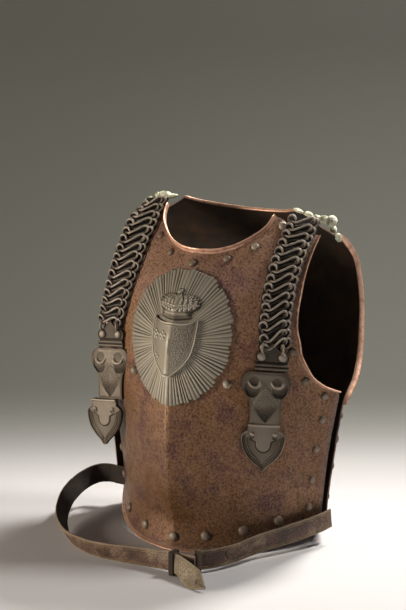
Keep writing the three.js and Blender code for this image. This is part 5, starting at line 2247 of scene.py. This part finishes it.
@dataclass
class Studio:
    """The paper sweep, the lamps and the camera, in the plates' own millimetres."""

    target: tuple[float, float, float] = (-55.6, 46.9, 284.8)
    azimuth: float = 30.0
    elevation: float = 13.5
    distance: float = 3000.0
    focal_share: float = 2250.0 / 610.0
    """The lens's focal length, as a share of the sensor's width."""

    def axes(self) -> tuple[Array, Array, Array]:
        """Give the camera's right, up and backward directions."""
        a, e = math.radians(self.azimuth), math.radians(self.elevation)
        right = np.array([math.cos(a), math.sin(a), 0.0])
        back = np.array([math.sin(a) * math.cos(e), -math.cos(a) * math.cos(e), math.sin(e)])
        return right, np.cross(back, right), back

    def build(self, finishes: Finishes) -> None:
        """Set up the floor, the lamps and the camera."""
        self.place_camera()
        self.lay_floor(finishes)
        self.light()

    def place_camera(self) -> None:
        """Stand the camera at its angle, level, with no shift."""
        right, up, back = self.axes()
        lens = bpy.data.cameras.new("studio_camera")
        lens.sensor_width = 36.0
        lens.lens = self.focal_share * lens.sensor_width
        lens.clip_start, lens.clip_end = 0.1, 60.0
        camera = bpy.data.objects.new("studio_camera", lens)
        place = to_frame(np.array(self.target) + self.distance * back)
        turn = Matrix(np.stack([right, up, back], axis=1).tolist()).to_4x4()
        camera.matrix_world = Matrix.Translation(Vector(place)) @ turn
        bpy.context.scene.collection.objects.link(camera)
        bpy.context.scene.camera = camera

    def lay_floor(self, finishes: Finishes) -> Piece:
        """Lay the paper sweep: flat under the cuirass and climbing behind it.

        Args:
            finishes: The finishes to dress it in.

        Returns:
            The sweep.
        """
        right, _, back = self.axes()
        away = unit(np.array([-back[0], -back[1], 0.0]))
        flat = np.array([-1900.0, -900.0, -300.0, 0.0, 70.0, 140.0, 200.0, 260.0, 330.0])
        turn = np.linspace(0.0, 1.0, 26)[1:]
        radius, steepest = 620.0, math.radians(82)
        curve_y = flat[-1] + radius * np.sin(turn * steepest)
        curve_z = radius * (1.0 - np.cos(turn * steepest))
        wall_y = curve_y[-1] + np.array([120.0, 260.0, 420.0])
        wall_z = curve_z[-1] + np.array([850.0, 1900.0, 3100.0])
        ys = np.concatenate([flat, curve_y, wall_y])
        zs = np.concatenate([np.zeros(len(flat)), curve_z, wall_z])
        travelled = flat[0] + travel(np.stack([ys, zs], axis=1))
        # How far each row has climbed, which sets the share of painted wall shade.
        climb = smoothstep(10.0, 560.0, travelled)
        xs = np.linspace(-2600.0, 2600.0, 27)
        base = np.array([0.0, 0.0, -SEAM_ORIGIN[2]])
        points = (
            base
            + xs[None, :, None] * right
            + ys[:, None, None] * away
            + zs[:, None, None] * np.array([0.0, 0.0, 1.0])
        ).reshape(-1, 3)
        parts = MeshParts()
        parts.add(points, grid_faces(len(ys), len(xs)), climb=np.repeat(climb, len(xs)))
        return parts.make("paper_sweep", [finishes.paper])

    def add_lamp(
        self,
        name: str,
        place: tuple[float, float, float],
        size: tuple[float, float],
        watts: float,
        colour: str,
        spread: float = 180.0,
    ) -> None:
        """Hang a soft box that looks at the cuirass.

        Args:
            name: The lamp's name.
            place: Degrees round from the camera to the right, degrees up, and distance in metres.
            size: Its width and height in metres.
            watts: Its power.
            colour: Its sRGB hex colour.
            spread: How wide its beam opens, in degrees.
        """
        turn, rise, distance = place
        a = math.radians(self.azimuth + turn)
        e = math.radians(rise)
        way = np.array([math.sin(a) * math.cos(e), -math.cos(a) * math.cos(e), math.sin(e)])
        aim = to_frame(np.array([0.0, 0.0, 200.0]))
        box = bpy.data.lights.new(name, "AREA")
        box.shape = "RECTANGLE"
        box.size, box.size_y = size
        box.energy = watts
        box.color = linear_colour(colour)[:3]
        box.spread = math.radians(spread)
        lamp = bpy.data.objects.new(name, box)
        lamp.location = Vector(aim + distance * way)
        lamp.rotation_euler = Vector(-way).to_track_quat("-Z", "Y").to_euler()
        bpy.context.scene.collection.objects.link(lamp)

    def light(self) -> None:
        """Hang the lamps and set the dim room light."""
        self.add_lamp("left_strip", (-70.0, 7.5, 2.4), (0.5, 0.7), 46.0, "#fff1e0")
        self.add_lamp("right_box", (100.0, 52.0, 1.9), (0.4, 0.4), 9.5, "#fffaf4", 110.0)
        self.add_lamp("back_box", (138.0, 50.0, 1.9), (0.4, 0.4), 20.0, "#fffaf4", 110.0)
        self.add_lamp("front_fill", (16.0, 22.0, 3.4), (1.6, 1.0), 4.6, "#f4f2ff")
        world = bpy.data.worlds.new("room")
        world.use_nodes = True
        room = world.node_tree.nodes["Background"].inputs
        room["Color"].default_value = linear_colour("#8f8b88")
        room["Strength"].default_value = 0.1
        bpy.context.scene.world = world
        bpy.context.scene.view_settings.view_transform = "Standard"


# ----- Assembly -----

NECK_RIVETS = ((-69.5, 393.5), (-41, 378.5), (0, 371.5), (41, 378.5), (69.5, 393.5), (92.5, 417))
SIDE_RIVETS = ((133, 268), (145, 228), (160.5, 205), (156.5, 173), (149, 133), (143.5, 91), (140, 54))
LOWER_RIVETS = ((-95, 31), (-52, 24), (0, 22), (41, 26), (82, 33), (115, 42))
BACK_RIVET_HEIGHTS = (170, 138, 101, 59)
BACK_RIVET_ACROSS = 0.9


def numbered(run: str, count: int) -> list[str]:
    """Give the names of a run of CAD nodes."""
    return [f"{run}_{i + 1}" for i in range(count)]


def back_rivet_places() -> list[tuple[float, float]]:
    """Give X and height of the rivets of the backplate, right and then left at each height."""
    places = []
    for z in BACK_RIVET_HEIGHTS:
        for side in (1, -1):
            x = float(BACK_SKIN.point(side * BACK_RIVET_ACROSS, z)[0])
            places.append((x, float(z)))
    return places


def rivet_runs() -> list[Rivets]:
    """List the runs of rivets and studs with the CAD nodes that they stand for."""
    side = [(s * x, z) for x, z in SIDE_RIVETS for s in (1, -1)]
    return [
        Rivets(
            "neck_rivets",
            BREAST_SKIN,
            NECK_RIVETS,
            numbered("neck_rivet", 6),
            radius=5.5,
            bloom=(0.0, 0.0, 0.05, 0.1, 0.6, 0.8),
        ),
        Rivets("side_rivets", BREAST_SKIN, side, numbered("side_rivet", 14), radius=5.6),
        Rivets(
            "lower_rivets",
            BREAST_SKIN,
            LOWER_RIVETS,
            numbered("lower_rivet", 6),
            radius=6.9,
            height=4.0,
            bloom=(0.1, 0.3, 0.4, 0.25, 0.1, 0.1),
        ),
        Rivets("back_rivets", BACK_SKIN, back_rivet_places(), numbered("back_rivet", 8), radius=5.4),
        Rivets(
            "breast_studs",
            BREAST_SKIN,
            ((67, 229), (-67, 229)),
            ["breast_stud_right", "breast_stud_left"],
            radius=5.6,
            height=7.2,
            bloom=(0.75, 0.5),
        ),
    ]


RIGHT_ROUTE = (
    (115, 424, 2.4), (114, 404, 2), (112.5, 380, 1.5), (112, 352, 1.2), (112.5, 325, 1.2),
    (113.5, 298, 1.2), (115.5, 279, 1.5),
)
LEFT_ROUTE = (
    (-99, 428, 2), (-101, 408, 1.2), (-103, 384, 0.6), (-105, 358, 0.6), (-109, 330, 0.6),
    (-112.5, 302, 1.0), (-115.5, 284, 2),
)


def keep(piece: Piece, slot: str, *nodes: str) -> None:
    """Tie a piece to the frame.

    Args:
        piece: The piece.
        slot: Not used.
        *nodes: The CAD nodes that it stands for.
    """
    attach(piece, BODY)
    if nodes:
        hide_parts(*nodes)
    LOG.info("%s: %d faces", piece.name, len(piece.data.polygons))


def build_armour(finishes: Finishes) -> None:
    """Build the two plates, the plaque, the chains, the castings and the rivets.

    Args:
        finishes: The finishes to dress them in.
    """
    breast = Plate("breastplate", BREAST_OUTLINE, 2.4, WIDE_LIP)
    back = Plate("backplate", BACK_OUTLINE, 1.8, LOW_LIP, seed=8.7, left_spread=9.0)
    keep(breast.build(finishes), "rusted_steel", "breastplate")
    keep(back.build(finishes), "rusted_steel", "backplate")
    keep(SunburstPlaque().build(finishes), "cast_brass", "sunburst_plaque")
    straps = (
        ChainStrap("right", RIGHT_ROUTE),
        ChainStrap("left", LEFT_ROUTE, width=1.1, turn=22.0, backing=(-24.0, 21.0)),
    )
    for strap in straps:
        keep(strap.build(finishes), "chain_brass", f"shoulder_chain_{strap.side}")
    for plates in END_PLATES:
        for kind, made in zip(("chain", "lobed", "tip"), plates.build(finishes), strict=True):
            keep(made, "cast_brass", f"{kind}_plate_{plates.side}")
    for run in rivet_runs():
        keep(run.build(finishes), "cast_brass", *run.nodes)
    for name, lumps in (("right", RIGHT_LUMPS), ("left", LEFT_LUMPS)):
        fitting = ShoulderFitting(name, lumps)
        keep(fitting.build(finishes), "verdigris_brass", f"shoulder_fitting_{name}")


RIGHT_LUMPS = (
    Lump((89, 42, 428), (8, 4, 2.4), 14),
    Lump((104, 42, 424), (6.5, 5, 4), 20),
    Lump((116, 42, 421), (6, 5, 4)),
    Lump((125.5, 42, 419.5), (7, 6, 6)),
    Lump((136, 44, 418.5), (7.6, 7.2, 7.6)),
    Lump((134.5, 51, 407), (4.5, 5, 7), -15),
    Lump((138, 60, 394), (4, 5, 6.5), -15),
)
LEFT_LUMPS = (
    Lump((-98, 38, 430), (9, 5, 3.2), -12),
    Lump((-108, 38, 431.5), (9, 6, 4.6)),
    Lump((-117, 36, 430), (6, 5, 3.6), 20),
    Lump((-129, 30, 425), (7, 4, 2.2), -30),
)


def build_belt(finishes: Finishes) -> None:
    """Build the three runs of the belt, its keeper and its buckle.

    Args:
        finishes: The finishes to dress them in.
    """
    runs = (
        (Belt("belt_left", LEFT_BELT, 1, seed=1.3), finishes.belt_face),
        (Belt("belt_right", RIGHT_BELT, -1, seed=2.9, crack=0.8), finishes.belt_face),
        (Belt("belt_tip", TIP_BELT, 1, seed=5.1, hole=0.8, steps=90), finishes.belt_tip),
    )
    for belt, face in runs:
        strap, thread = belt.build(finishes, face)
        keep(strap, "leather", belt.name)
        keep(thread, "leather")
    keeper = BeltLoop("belt_keeper", (46, -202, 19), -3, 11, 2, 7)
    buckle = BeltLoop("belt_buckle", (70, -183, 19.5), 50, 5, 1.8, 6)
    keep(keeper.build(finishes.belt_flesh), "leather", "belt_keeper")
    keep(buckle.build(finishes.rivet), "verdigris_brass", "belt_buckle")


def main() -> None:
    """Build every piece in order, then set up the studio."""
    logging.basicConfig(level=logging.INFO, format="%(name)s: %(message)s")
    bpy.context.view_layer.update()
    finishes = Finishes()
    build_armour(finishes)
    build_belt(finishes)
    Studio().build(finishes)


if __name__ == "__main__":
    main()
